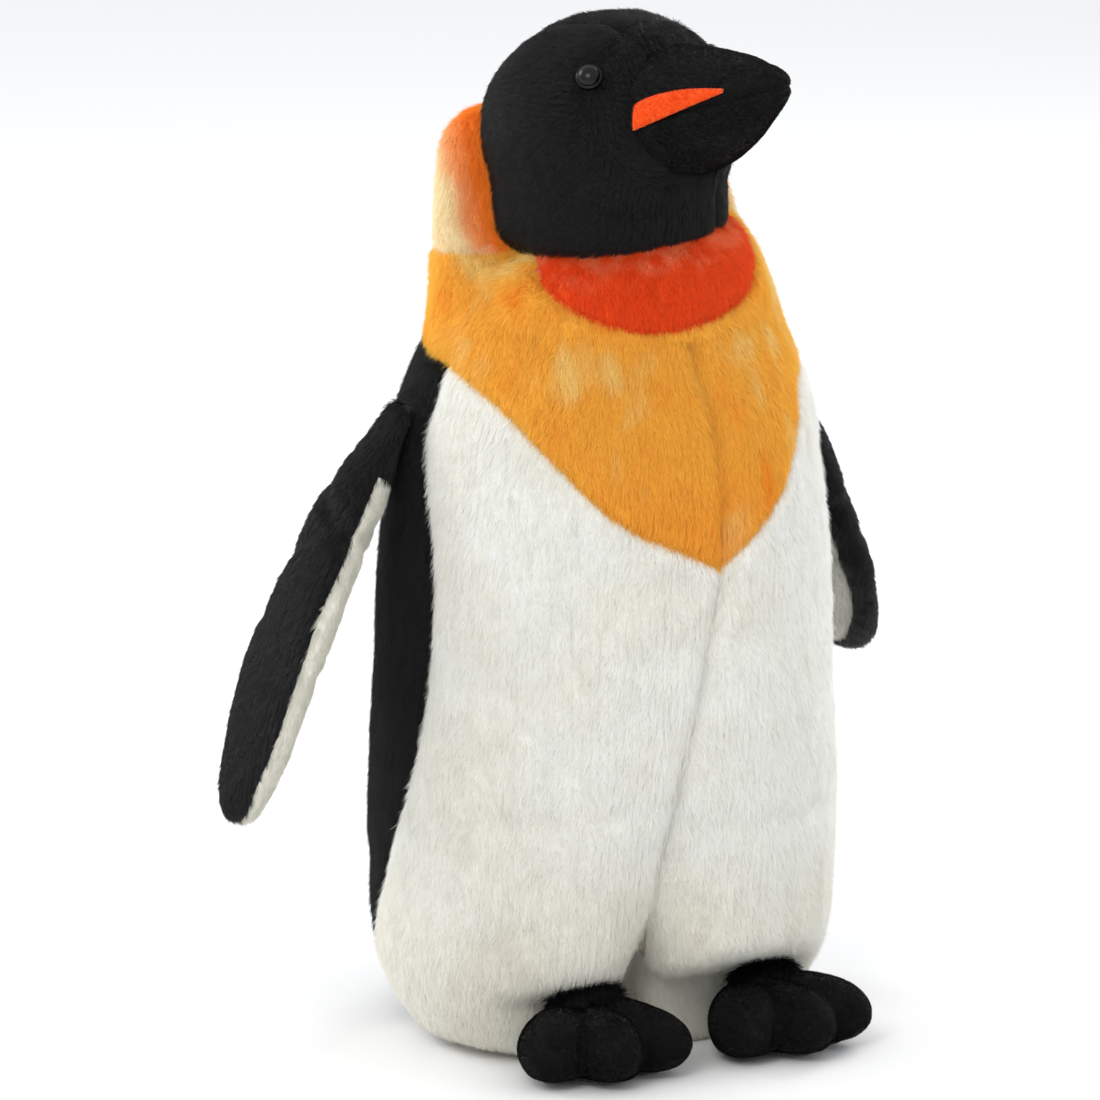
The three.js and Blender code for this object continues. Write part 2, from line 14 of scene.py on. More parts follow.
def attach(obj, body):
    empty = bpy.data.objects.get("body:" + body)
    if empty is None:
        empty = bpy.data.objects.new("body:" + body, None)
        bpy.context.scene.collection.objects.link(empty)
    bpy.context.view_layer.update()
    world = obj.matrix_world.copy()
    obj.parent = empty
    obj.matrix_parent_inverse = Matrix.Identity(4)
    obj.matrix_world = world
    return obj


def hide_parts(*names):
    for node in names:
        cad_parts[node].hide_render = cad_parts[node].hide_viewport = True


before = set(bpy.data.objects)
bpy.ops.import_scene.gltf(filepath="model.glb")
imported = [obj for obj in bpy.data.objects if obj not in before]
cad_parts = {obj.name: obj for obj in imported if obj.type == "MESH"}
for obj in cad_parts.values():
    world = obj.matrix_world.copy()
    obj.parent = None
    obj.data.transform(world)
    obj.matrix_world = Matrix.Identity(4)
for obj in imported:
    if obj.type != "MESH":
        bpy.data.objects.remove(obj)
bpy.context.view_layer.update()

MM = 0.001
STRANDS = 1.0  # share of the pile that is grown

# ---------------------------------------------------------------- driving sizes, near the CAD part's
TRUNK = [
    (0, 84, 73), (20, 87, 75.5), (45, 90.5, 79.5), (90, 91.5, 81.5), (140, 89, 81.5), (190, 86, 80),
    (225, 81.5, 77), (255, 74.5, 69.5), (280, 66.5, 62), (300, 61.5, 59.5), (330, 59, 58), (352, 57, 57),
]
BEAK = [
    (28, 12, 29.5, 25.5), (38, 12.5, 29.5, 26), (50, 14.5, 25.5, 24.5), (60, 16.8, 22, 21.8),
    (69, 20, 18.3, 17.8), (76, 22.8, 14, 13.4), (83, 25.8, 10, 9.4),
    (87, 27.2, 6.8, 6.2), (89.5, 28, 3.3, 3.3),
]
BEAK_ROOT, BEAK_TIP = BEAK[0][0], BEAK[-1][0]
BEAK_SEAM_BACK, BEAK_SEAM_TIP = 8, 28  # heights of the seam between the beak's halves
STRIPE_FROM, STRIPE_LONG = 40, 32
BASE_FRONT, HEM = -41.0, 2.8
BASE_ROUND, BASE_TURN_IN = 44, 27
LEG_GROOVE, NOTCH_TOP, NOTCH_DEEP = 20, 62, 13
RIM_FRONT, RIM_BACK, RIM_TILT = 307, 352, 6
RIM_ROLL_FRONT, RIM_ROLL_BACK, COLLAR_SWELL = 30, 14, 6
TUCK = 8.0  # height of the strip of collar that is tucked in against the head
BIB_TIP, BIB_FLANK, BIB_BACK = 194, 266, 281
THROAT_LOW, THROAT_MIDDLE = 280, -13
PATCH_LOW, PATCH_START, NAPE_START = 304.0, 94.0, 150
CEILING, CEILING_SLOPE = 30.5, 28.0
HEAD_CENTRE, HEAD_TURN = np.array([0.0, -5.0, 345.0]), 17.0
CROWN_R, HEAD_R, JAW_R = 47.0, 49.0, 58.0
GUSSET_HALF = 14.0
EYE_SIDE, EYE_DOWN = 57.0, 55.0
FLIPPER_LENGTH, FLIPPER_HINGE = 171.0, 4.5
FLIPPER_TIP = FLIPPER_HINGE - FLIPPER_LENGTH  # height of the tip in the flipper's own frame
LINING_START = -26.0
# Side, shoulder, and the blade's angles: out, back, twist. Then its bow.
FLIPPERS = {"right": (-1, (82, 8, 245), 25.3, 0, -15, 6), "left": (1, (83, 16, 248.5), 26.4, 30, 12, 2)}
# The same for the CAD part's flippers, whose stuffing is taken over.
CAD_FLIPPERS = {"right": (-1, (82, 8, 245), 26, 0, -12, 6), "left": (1, (81, 16, 247.5), 26, 30, 12, 2)}
FOOT_AT = (38.5, -51)
TOES = ((-41, 18.3), (0, 19), (41, 18.3))
TOE_HALF, TOE_HEIGHT, INSTEP_HALF = (15.6, 28, 15.4), 13.0, (26, 17, 15.5)
SOLE_TOP = 2.6


# ---------------------------------------------------------------- small helpers
def smooth(x, low, high):
    t = np.clip((np.asarray(x, float) - low) / (high - low), 0, 1)
    return t * t * (3 - 2 * t)


def spline(table):
    """Cubic through the rows, whose slope at each row is that of the line between its neighbours."""
    t = np.array([r[0] for r in table], float)
    y = np.array([r[1:] for r in table], float)
    m = np.zeros_like(y)
    m[1:-1] = (y[2:] - y[:-2]) / (t[2:] - t[:-2])[:, None]
    m[0] = (3 * (y[1] - y[0]) / (t[1] - t[0]) - m[1]) / 2
    m[-1] = (3 * (y[-1] - y[-2]) / (t[-1] - t[-2]) - m[-2]) / 2

    def at(x):
        x = np.clip(np.asarray(x, float), t[0], t[-1])
        i = np.clip(np.searchsorted(t, x, side="right") - 1, 0, len(t) - 2)
        h = (t[i + 1] - t[i])[..., None]
        s = (x - t[i])[..., None] / h
        return (
            y[i] * (1 + 2 * s) * (1 - s) ** 2 + m[i] * h * s * (1 - s) ** 2
            + y[i + 1] * s * s * (3 - 2 * s) + m[i + 1] * h * s * s * (s - 1)
        )
    return at


def lattice(n, seed):
    """A repeatable random number from 0 to 1 for each whole-number point."""
    k = (n[..., 0] * 73856093) ^ (n[..., 1] * 19349663) ^ (n[..., 2] * 83492791) ^ (seed * 40503 + 977)
    k = (k ^ (k >> 13)) * 1274126177
    return ((k ^ (k >> 16)) & 0xFFFF) / 65535.0


def noise(p, size, seed=0):
    """Smooth noise from -1 to 1 over points in mm; size is the size of its lumps."""
    q = np.asarray(p, float) / np.asarray(size, float)
    base = np.floor(q).astype(np.int64)
    f = q - base
    f = f * f * (3 - 2 * f)
    total = np.zeros(len(q))
    for dx in (0, 1):
        for dy in (0, 1):
            for dz in (0, 1):
                w = 1.0
                for axis, d in enumerate((dx, dy, dz)):
                    w = w * (f[:, axis] if d else 1 - f[:, axis])
                total += w * lattice(base + [dx, dy, dz], seed)
    return total * 2 - 1


def unit(v):
    return v / np.maximum(np.linalg.norm(v, axis=-1, keepdims=True), 1e-9)


def srgb(r, g, b):
    """A colour given as 0 to 255, in linear light."""
    c = np.array([r, g, b], float) / 255
    return np.where(c <= 0.04045, c / 12.92, ((c + 0.055) / 1.055) ** 2.4)


class Place:
    """A part's own frame in the row frame, in mm."""

    def __init__(self, origin, turn):
        self.origin, self.turn = np.array(origin, float), np.array(turn, float)

    def out(self, p):
        return np.asarray(p, float) @ self.turn.T + self.origin

    def into(self, p):
        return (np.asarray(p, float) - self.origin) @ self.turn


def about(axis, degrees):
    return np.array(Matrix.Rotation(math.radians(degrees), 3, axis))


HERE = Place((0, 0, 0), np.eye(3))
HEAD = Place(HEAD_CENTRE, about("Z", HEAD_TURN))
SIDES = (("left", 1), ("right", -1))


def flipper_place(side, at, out, back, twist, _):
    turn = about("X", back) @ about("Y", -side * out) @ about("Z", -90 * side + twist)
    return Place((side * at[0], at[1], at[2]), turn)


FLIPPER = {word: flipper_place(*row) for word, row in FLIPPERS.items()}
CAD_FLIPPER = {word: flipper_place(*row) for word, row in CAD_FLIPPERS.items()}
FOOT = {word: Place((FOOT_AT[0] * s, FOOT_AT[1], 0), about("Z", 6 * s)) for word, s in SIDES}

# ---------------------------------------------------------------- meshes
def mesh_of(name, points, faces):
    """A new object from points in mm."""
    me = bpy.data.meshes.new(name)
    me.from_pydata((np.asarray(points) * MM).tolist(), [], faces)
    me.validate()
    ob = bpy.data.objects.new(name, me)
    bpy.context.scene.collection.objects.link(ob)
    me.polygons.foreach_set("use_smooth", [True] * len(me.polygons))
    return ob


def points_of(ob):
    co = np.empty(len(ob.data.vertices) * 3, np.float32)
    ob.data.vertices.foreach_get("co", co)
    return co.reshape(-1, 3).astype(float) / MM


def set_points(ob, points):
    ob.data.vertices.foreach_set("co", (points * MM).astype(np.float32).ravel())
    ob.data.update()


def normals_of(ob):
    n = np.empty(len(ob.data.vertices) * 3, np.float32)
    ob.data.vertex_normals.foreach_get("vector", n)
    return n.reshape(-1, 3).astype(float)


def applied(ob):
    """Puts the result of the object's modifiers into its mesh."""
    dg = bpy.context.evaluated_depsgraph_get()
    dg.update()
    me = bpy.data.meshes.new_from_object(ob.evaluated_get(dg), depsgraph=dg)
    old = ob.data
    ob.modifiers.clear()
    ob.data = me
    bpy.data.meshes.remove(old)
    me.polygons.foreach_set("use_smooth", [True] * len(me.polygons))
    return ob


def modify(ob, kind, **settings):
    m = ob.modifiers.new(kind.lower(), kind)
    for k, v in settings.items():
        setattr(m, k, v)
    return ob


def grid_faces(rows, cols, wrap=True):
    faces = []
    for r in range(rows - 1):
        for c in range(cols if wrap else cols - 1):
            d = (c + 1) % cols
            faces.append((r * cols + c, r * cols + d, (r + 1) * cols + d, (r + 1) * cols + c))
    return faces


def outward(ob):
    """Turns the faces' normals outward."""
    bm = bmesh.new()
    bm.from_mesh(ob.data)
    bmesh.ops.recalc_face_normals(bm, faces=bm.faces)
    bm.to_mesh(ob.data)
    bm.free()
    return ob


def closed(name, rings):
    """A closed solid over rings of points, with a fan on each end."""
    rings = np.asarray(rings, float)
    rows, cols = rings.shape[:2]
    points = np.vstack([rings.reshape(-1, 3), rings[0].mean(0), rings[-1].mean(0)])
    faces = grid_faces(rows, cols)
    last = (rows - 1) * cols
    for c in range(cols):
        d = (c + 1) % cols
        faces.append((d, c, rows * cols))
        faces.append((last + c, last + d, rows * cols + 1))
    return outward(mesh_of(name, points, faces))


def remeshed(ob, size, soften):
    modify(ob, "REMESH", mode="VOXEL", voxel_size=size * MM, adaptivity=0)
    modify(ob, "SMOOTH", factor=0.5, iterations=soften)
    return applied(ob)


def puff(ob, held, cap, pressure):
    """Blows the skin up against the seams that hold it. held is from 0, free, to 1, sewn."""
    scene = bpy.context.scene
    before = points_of(ob)
    group = ob.vertex_groups.new(name="sewn")
    for i in np.flatnonzero(held > 0.02):
        group.add([int(i)], float(held[i]), "REPLACE")
    cloth = ob.modifiers.new("cloth", "CLOTH")
    s = cloth.settings
    s.quality, s.mass = 5, 0.3
    s.tension_stiffness = s.compression_stiffness = 12
    s.shear_stiffness, s.bending_stiffness = 5, 0.4
    s.use_pressure, s.uniform_pressure_force = True, pressure
    s.vertex_group_mass = "sewn"
    s.effector_weights.gravity = 0
    cloth.point_cache.frame_start, cloth.point_cache.frame_end = 1, 20
    for f in range(1, 21):
        scene.frame_set(f)
    applied(ob)
    scene.frame_set(1)
    after = points_of(ob)
    move = after - before
    size = np.linalg.norm(move, axis=1, keepdims=True)
    set_points(ob, before + move * np.minimum(1, cap / np.maximum(size, 1e-6)))
    return ob


def settled(ob, held, cap, pressure=4.0, soften=0):
    """The skin puffed between its seams, then smoothed and made finer."""
    puff(ob, held, cap, pressure)
    if soften:
        modify(ob, "SMOOTH", factor=0.5, iterations=soften)
    modify(ob, "SUBSURF", levels=1, render_levels=1)
    return applied(ob)


def cut_along(ob, fields):
    """Cuts the mesh exactly along the line where each field (of points in mm) is zero."""
    bm = bmesh.new()
    bm.from_mesh(ob.data)
    kept = [bm.verts.layers.float.new(n) for n in ("kept_x", "kept_y", "kept_z")]
    for v in bm.verts:
        v[kept[0]], v[kept[1]], v[kept[2]] = v.co
    for field in fields:
        here = np.array([[v[k] for k in kept] for v in bm.verts]) / MM
        for v, f in zip(bm.verts, field(here)):
            v.co = (f, 0, 0)
        whole = bm.verts[:] + bm.edges[:] + bm.faces[:]
        bmesh.ops.bisect_plane(bm, geom=whole, dist=0.04, plane_co=(0, 0, 0), plane_no=(1, 0, 0))
    for v in bm.verts:
        v.co = (v[kept[0]], v[kept[1]], v[kept[2]])
    for k in ("kept_x", "kept_y", "kept_z"):
        bm.verts.layers.float.remove(bm.verts.layers.float[k])
    bm.to_mesh(ob.data)
    bm.free()
    return ob


def centres_of(ob):
    c = np.empty(len(ob.data.polygons) * 3, np.float32)
    ob.data.polygons.foreach_get("center", c)
    return c.reshape(-1, 3).astype(float) / MM


def taken(ob, name, mask):
    """The masked faces as an object of their own."""
    me = ob.data
    points = points_of(ob)
    faces = [tuple(p.vertices) for p, m in zip(me.polygons, mask) if m]
    used = np.unique(np.concatenate([np.array(f) for f in faces]))
    new = np.full(len(points), -1)
    new[used] = np.arange(len(used))
    return mesh_of(name, points[used], [tuple(int(new[v]) for v in f) for f in faces])


def tinted(ob, colour):
    """Writes colour(points) into the mesh, for the fabric and its pile."""
    c = colour(points_of(ob))
    a = ob.data.color_attributes.new("tint", "FLOAT_COLOR", "POINT")
    a.data.foreach_set("color", np.hstack([c, np.ones((len(c), 1))]).astype(np.float32).ravel())
    return ob


def drop(ob):
    me = ob.data
    bpy.data.objects.remove(ob)
    bpy.data.meshes.remove(me)


# ---------------------------------------------------------------- surfaces of the parts
trunk_section = spline(TRUNK)


def rim_height(a):
    """The collar's edge, low at the throat and pulled up a little on the side that the head looks to."""
    behind = smooth(np.abs(a), 92, 122)
    return (RIM_FRONT + (RIM_BACK - RIM_FRONT) * behind
            + RIM_TILT * np.sin(np.radians(a)) * (1 - behind))


def head_radius(down):
    ball = CROWN_R + (HEAD_R - CROWN_R) * smooth(down, 30, 75)
    return ball + (JAW_R - ball) * smooth(down, 108, 132)


def neck_radius(z):
    """Where the collar's edge meets the head's cover, out from the head's axis."""
    drop_z = np.asarray(z, float) - HEAD_CENTRE[2]
    reach = head_radius(np.degrees(np.arctan2(50, drop_z))) - 1.0
    return np.sqrt(np.maximum(reach ** 2 - drop_z ** 2, 1))


SEAM_SHIFT = spline([
    (0, -12), (45, -11.5), (85, -8), (140, -3), (196, 3.5), (240, 3.5), (283, 0.5), (352, 0),
])


def seam_shift(z):
    return SEAM_SHIFT(z)[..., 0]


def groove_between_legs(a, z):
    return np.exp(-(((a - seam_shift(z)) / 15) ** 2)) * (1 - smooth(z, 20, 150))


def trunk(a, z, inset):
    """A point of the trunk at angle a (degrees, -180 to 180) and height z."""
    a, z = np.broadcast_arrays(np.asarray(a, float), np.asarray(z, float))
    half = trunk_section(z)
    low = np.clip(1 - z / BASE_ROUND, 0, 1)
    collar = COLLAR_SWELL * smooth(np.abs(a), 82, 108) * smooth(z, 268, 300)
    grown = collar - BASE_TURN_IN * (1 - np.sqrt(1 - low ** 2))
    rim = rim_height(a)
    roll_deep = RIM_ROLL_FRONT + (RIM_ROLL_BACK - RIM_ROLL_FRONT) * smooth(np.abs(a), 70, 110)
    high = np.clip(1 - (rim - z) / roll_deep, 0, 1)
    roll = 1 - np.sqrt(1 - high ** 2)
    edge = neck_radius(rim) - 1.2 + inset
    depth = inset + LEG_GROOVE * groove_between_legs(a, z)
    w = (half[..., 0] + grown) * (1 - roll) + edge * roll - depth
    d = (half[..., 1] + grown) * (1 - roll) + edge * roll - depth
    t = np.radians(a)
    swell = 8 * np.exp(-(((z - 90) / 70) ** 2)) * np.maximum(-np.cos(t), 0)
    return np.stack([w * np.sin(t), lean(z) - (d + swell) * np.cos(t), z], -1)


def lean(z):
    """How far back the middle of the trunk is at that height."""
    high = smooth(z, 270, 300)
    return -3 * smooth(z, 60, 150) * (1 - high) + HEAD_CENTRE[1] * high


def trunk_angle(p):
    half = trunk_section(p[:, 2])
    return np.degrees(np.arctan2(p[:, 0] / half[:, 0], -(p[:, 1] - lean(p[:, 2])) / half[:, 1]))


def seam_angle(p):
    """The angle that the front seams go by: the filled skin has crept round a little."""
    a = trunk_angle(p)
    return a - seam_shift(p[:, 2]) * (1 - smooth(np.abs(a), 40, 100))


def bib_low(a):
    """Lower edge of the bib, which sags a little on the right and is drawn up on the left."""
    sag = 13 * np.exp(-(((a + 30) / 22) ** 2)) - 12 * np.exp(-(((a - 42) / 16) ** 2))
    a = np.minimum(np.abs(a), NAPE_START)
    behind = np.maximum(a - 100, 0) / (NAPE_START - 100)
    flank = BIB_TIP + (BIB_FLANK - BIB_TIP) * np.sin(np.radians(0.9 * np.minimum(a, 100))) - sag
    return flank * (1 - behind ** 2) + BIB_BACK * behind ** 2


def throat_low(a):
    """Lower edge of the throat patch, a crescent that reaches further round on the left."""
    out = np.abs(a - THROAT_MIDDLE)
    share = np.where(a < THROAT_MIDDLE, (out / 56) ** 1.5, (out / 88) ** 1.8)
    return THROAT_LOW + (rim_height(a) - THROAT_LOW) * share


def white_edge(z):
    return 78 + 62 * (np.maximum(150 - z, 0) / 150) ** 2 + 8 * smooth(z, 170, 240)


def roof_over(y):
    """Height of the trunk's underside, which slopes up in front of the ankles."""
    return CEILING + np.maximum(FOOT_AT[1] + 2 - y, 0) * math.tan(math.radians(CEILING_SLOPE))


def foot_room(p):
    """Below zero in the space that the feet take under the front of the trunk."""
    return np.maximum(p[:, 1] - BASE_FRONT, p[:, 2] - roof_over(p[:, 1]))


def head_point(side, down, inset):
    side, down = np.broadcast_arrays(np.asarray(side, float), np.asarray(down, float))
    s, d = np.radians(side), np.radians(down)
    brow = 6 * np.maximum(np.cos(s), 0) * np.exp(-(((down - 38) / 30) ** 2))
    r = head_radius(down) + brow - inset
    return np.stack([r * np.sin(d) * np.sin(s), -r * np.sin(d) * np.cos(s), r * np.cos(d)], -1)


beak_section = spline(BEAK)


def beak_point(ahead, turn, inset):
    ahead, turn = np.broadcast_arrays(np.asarray(ahead, float), np.asarray(turn, float))
    s = beak_section(ahead)
    t = np.radians(turn)
    return np.stack([
        np.maximum(s[..., 1] - inset, 0.6) * np.cos(t),
        -ahead,
        s[..., 0] + np.maximum(s[..., 2] - inset, 0.6) * np.sin(t),
    ], -1)


def flipper_section(along):
    along = np.asarray(along, float)
    root = np.clip(1 - along / FLIPPER_HINGE, 0, 1)
    end = np.clip(1 - (FLIPPER_LENGTH - along) / 8, 0, 1)
    tip = np.clip(1 - (FLIPPER_LENGTH - along) / 75, 0, 1)
    spread = 16 + 20.5 * smooth(along, 0, 110) + 3.5 * smooth(along, 75, 120)
    wide = spread * np.sqrt(np.maximum(1 - tip ** 3.0, 0.02))
    plump = 4 + 8.5 * smooth(along, 0, 50) - 4 * smooth(along, 80, FLIPPER_LENGTH)
    return wide, plump * np.sqrt(1 - root ** 2) * np.sqrt(1 - end ** 2)


def flipper_middle(p, bow):
    """Height of the flipper's middle surface under each point, in the flipper's own frame."""
    along = np.clip(FLIPPER_HINGE - p[:, 2], 0, FLIPPER_LENGTH)
    return bow * np.sin(np.pi * along / FLIPPER_LENGTH)


# ---------------------------------------------------------------- colours of the pile
WHITE, SHADED = srgb(255, 255, 250), srgb(226, 219, 202)
GOLD, GOLD_LIGHT, GOLD_DEEP = srgb(255, 206, 88), srgb(255, 230, 156), srgb(255, 176, 50)
# The throat's paler peach is a painted highlight, laid along the top edge of the throat patch.
THROAT, PEACH_HIGHLIGHT, PEACH_PALE = srgb(244, 98, 34), srgb(252, 168, 118), srgb(255, 186, 116)
PATCH, CREAM = srgb(255, 160, 56), srgb(255, 240, 204)
BLACK, BLACK_SOFT = srgb(4, 4, 5), srgb(20, 20, 22)
ORANGE = srgb(246, 96, 24)
LINING = srgb(232, 231, 222)


def mix(a, b, t):
    t = np.clip(np.asarray(t, float), 0, 1)[:, None]
    return a * (1 - t) + b * t


def plain(colour, spread=0.03, size=(6, 6, 14), seed=3):
    def at(p):
        c = np.tile(colour, (len(p), 1))
        return np.clip(c * (1 + spread * noise(p, size, seed)[:, None]), 0, 1)
    return at


def belly_colour(p):
    low = (1 - smooth(p[:, 2], 30, 95)) * 0.35 * (0.6 + 0.4 * noise(p, 22, 5))
    middle = 0.10 * np.maximum(noise(p, (26, 26, 30), 6), 0)
    return mix(WHITE, SHADED, low + middle) * (1 + 0.02 * noise(p, (4, 4, 12), 7))[:, None]


def gold_colour(p):
    streak = noise(p, (13, 13, 30), 11) + 0.6 * noise(p, (5, 5, 16), 12)
    c = mix(np.tile(GOLD, (len(p), 1)), GOLD_LIGHT, smooth(streak, 0.15, 1.1) * 0.85)
    deep = smooth(-streak, 0.1, 1.1) * 0.75
    tip = (1 - smooth(p[:, 2], 196, 246)) * 0.35
    return mix(c, GOLD_DEEP, np.maximum(deep, tip))


def throat_colour(p):
    drop_mm = rim_height(trunk_angle(p)) - p[:, 2] + 3 * noise(p, 7, 15)
    # Painted highlight: the top edge of the throat patch, where it rolls in towards the head, is paler peach in
    # blotches.
    high = 0.5 * (1 - smooth(drop_mm, 3, 9)) * smooth(noise(p, 5, 16), -0.5, 0.4)
    return mix(np.tile(THROAT, (len(p), 1)), PEACH_HIGHLIGHT, high)


def patch_colour(p):
    drop_mm = rim_height(trunk_angle(p)) - p[:, 2] + 3 * noise(p, (8, 8, 14), 17)
    out_mm = np.hypot(p[:, 0], p[:, 1] - HEAD_CENTRE[1]) - neck_radius(p[:, 2])
    away = np.maximum(drop_mm, 1.7 * out_mm)
    near = mix(np.tile(PATCH, (len(p), 1)), PEACH_PALE, smooth(away, 6, 16))
    return mix(near, CREAM, smooth(away, 15, 28))


def black_colour(p):
    return mix(np.tile(BLACK, (len(p), 1)), BLACK_SOFT, 0.25 + 0.25 * noise(p, (9, 9, 16), 19))


# ---------------------------------------------------------------- materials
def shader(name, rough, spec=0.3, sheen=0.0):
    m = bpy.data.materials.new(name)
    m.use_nodes = True
    b = m.node_tree.nodes["Principled BSDF"]
    b.inputs["Roughness"].default_value = rough
    b.inputs["Specular IOR Level"].default_value = spec
    b.inputs["Sheen Weight"].default_value = sheen
    b.inputs["Sheen Roughness"].default_value = 0.5
    return m, m.node_tree.nodes, m.node_tree.links, b


def node(nodes, kind, **values):
    n = nodes.new(kind)
    for k, v in values.items():
        if k in n.inputs:
            n.inputs[k].default_value = v
        else:
            setattr(n, k, v)
    return n


def ramp(nodes, stops):
    n = nodes.new("ShaderNodeValToRGB")
    e = n.color_ramp.elements
    for i, (at, value) in enumerate(stops):
        x = e[i] if i < 2 else e.new(at)
        x.position = at
        x.color = (*([value] * 3 if np.isscalar(value) else value), 1)
    return n


def stretched(nodes, links, scale):
    """Object coordinates, in mm, squeezed across the lie of the pile."""
    place = node(nodes, "ShaderNodeTexCoord")
    m = node(nodes, "ShaderNodeMapping", vector_type="POINT")
    m.inputs["Scale"].default_value = [1 / (s * MM) for s in scale]
    links.new(place.outputs["Object"], m.inputs["Vector"])
    return m.outputs["Vector"]


def mottle(nodes, links, scale, **values):
    """Noise whose lumps have that size in mm."""
    fine = node(nodes, "ShaderNodeTexNoise", Scale=1.0, **values)
    links.new(stretched(nodes, links, scale), fine.inputs["Vector"])
    return fine.outputs["Fac"]


def graded(nodes, links, fac, stops, socket):
    """Feeds a socket from fac by way of a ramp."""
    shade = ramp(nodes, stops)
    links.new(fac, shade.inputs["Fac"])
    links.new(shade.outputs["Color"], socket)


def bumped(nodes, links, fac, b, strength, mm):
    relief = node(nodes, "ShaderNodeBump", Strength=strength, Distance=mm * MM)
    links.new(fac, relief.inputs["Height"])
    links.new(relief.outputs["Normal"], b.inputs["Normal"])


def by_tint(nodes, links, fac, stops, socket):
    """The mesh's own tint, darkened by a ramp over fac."""
    tint = node(nodes, "ShaderNodeAttribute", attribute_name="tint", attribute_type="GEOMETRY")
    times = node(nodes, "ShaderNodeMix", data_type="RGBA", blend_type="MULTIPLY")
    times.inputs["Factor"].default_value = 1.0
    links.new(tint.outputs["Color"], times.inputs[6])
    graded(nodes, links, fac, stops, times.inputs[7])
    links.new(times.outputs[2], socket)
    return times.outputs[2]


def backing(name, scale, low=0.72, bump=0.5, rough=0.9, sheen=0.25):
    """Pile fabric seen as a whole: the tint of each place, combed streaks, and their relief."""
    m, nodes, links, b = shader(name, rough, 0.2, sheen)
    fine = mottle(nodes, links, scale, Detail=4.0, Roughness=0.65)
    by_tint(nodes, links, fine, [(0.3, low), (0.68, 1.0)], b.inputs["Base Color"])
    graded(nodes, links, fine, [(0.3, rough), (0.7, rough - 0.14)], b.inputs["Roughness"])
    bumped(nodes, links, fine, b, bump, 0.9)
    return m


def strand_material(name, rough=0.55, spec=0.25, root=0.55, through=0.0):
    """Pile with painted shade, darker towards the root where the fibres shade each other; through is the share of
    light that passes on into the fibres behind.
    """
    m, nodes, links, b = shader(name, rough, spec)
    info = node(nodes, "ShaderNodeHairInfo")
    # Painted shade: each strand's colour darkens towards its root.
    stops = [(0.0, root), (0.55, 1.0)]
    colour = by_tint(nodes, links, info.outputs["Intercept"], stops, b.inputs["Base Color"])
    if through:
        soft = node(nodes, "ShaderNodeBsdfTranslucent")
        links.new(colour, soft.inputs["Color"])
        both = node(nodes, "ShaderNodeMixShader")
        both.inputs["Fac"].default_value = through
        links.new(b.outputs["BSDF"], both.inputs[1])
        links.new(soft.outputs["BSDF"], both.inputs[2])
        links.new(both.outputs["Shader"], nodes["Material Output"].inputs["Surface"])
    return m


def fibre(name, colour, size):
    """Loose fibre in one colour with a mottled relief."""
    m, nodes, links, b = shader(name, 0.95, 0.2)
    fine = mottle(nodes, links, (size,) * 3, Detail=5.0, Roughness=0.6)
    graded(nodes, links, fine, [(0.3, tuple(colour * 0.8)), (0.7, tuple(colour))], b.inputs["Base Color"])
    bumped(nodes, links, fine, b, 0.6, 0.6)
    return m


def woven(name, colour, thread=0.7):
    """Plain-weave cloth with threads of that size in mm."""
    m, nodes, links, b = shader(name, 0.9, 0.2, 0.15)
    place = stretched(nodes, links, (thread,) * 3)
    both = node(nodes, "ShaderNodeMath", operation="MAXIMUM")
    for i, way in enumerate(("X", "Y")):
        w = node(nodes, "ShaderNodeTexWave", bands_direction=way, Scale=1.0, Distortion=0.6)
        links.new(place, w.inputs["Vector"])
        links.new(w.outputs["Fac"], both.inputs[i])
    cloth = both.outputs[0]
    graded(nodes, links, cloth, [(0.2, tuple(colour * 0.7)), (0.9, tuple(colour))], b.inputs["Base Color"])
    bumped(nodes, links, cloth, b, 0.5, 0.3)
    return m


def moulded(name, colour, rough, spec=0.5):
    """Moulded plastic: an even colour with faint grain in its gloss."""
    m, nodes, links, b = shader(name, rough, spec)
    fine = mottle(nodes, links, (1.2,) * 3, Detail=3.0)
    graded(nodes, links, fine, [(0.3, tuple(colour * 0.85)), (0.7, tuple(colour))], b.inputs["Base Color"])
    graded(nodes, links, fine, [(0.3, rough), (0.7, rough + 0.05)], b.inputs["Roughness"])
    return m

M = {
    "belly": backing("belly_fabric", (0.9, 0.9, 4), low=0.8),
    "black": backing("black_fabric", (0.8, 0.8, 3.2), low=0.55, sheen=0.1, rough=0.85),
    "gold": backing("gold_fabric", (0.9, 0.9, 4), low=0.78),
    "velour": backing("velour", (0.45, 0.45, 0.7), low=0.6, bump=0.25, rough=0.8, sheen=0.12),
    "stripe": backing("stripe_velour", (0.45, 0.8, 0.45), low=0.82, bump=0.25, rough=0.85),
    "base": woven("base_cloth", srgb(214, 205, 184)),
    "fill": fibre("fibrefill", srgb(242, 242, 238), 1.6),
    "pellets": woven("pellet_bag_cloth", srgb(222, 216, 200), 0.5),
    "eye": moulded("eye_gloss", srgb(5, 5, 6), 0.22, spec=0.28),
    "washer": moulded("washer_plastic", srgb(216, 216, 210), 0.45),
    # root is how dark the painted shade at the foot of each strand is.
    "pale_strand": strand_material("pale_strand", root=0.94, through=0.45),
    "gold_strand": strand_material("gold_strand", root=0.9, through=0.4),
    "black_strand": strand_material("black_strand", rough=0.38, spec=0.34, root=0.5),
    "velour_strand": strand_material("velour_strand", rough=0.55, spec=0.15, root=0.6),
}


# ---------------------------------------------------------------- pile
def lie(place, way):
    """Comb direction that is the same in a part's own frame."""
    world = unit(np.array(way, float)) @ place.turn.T
    return lambda p: np.tile(world, (len(p), 1))


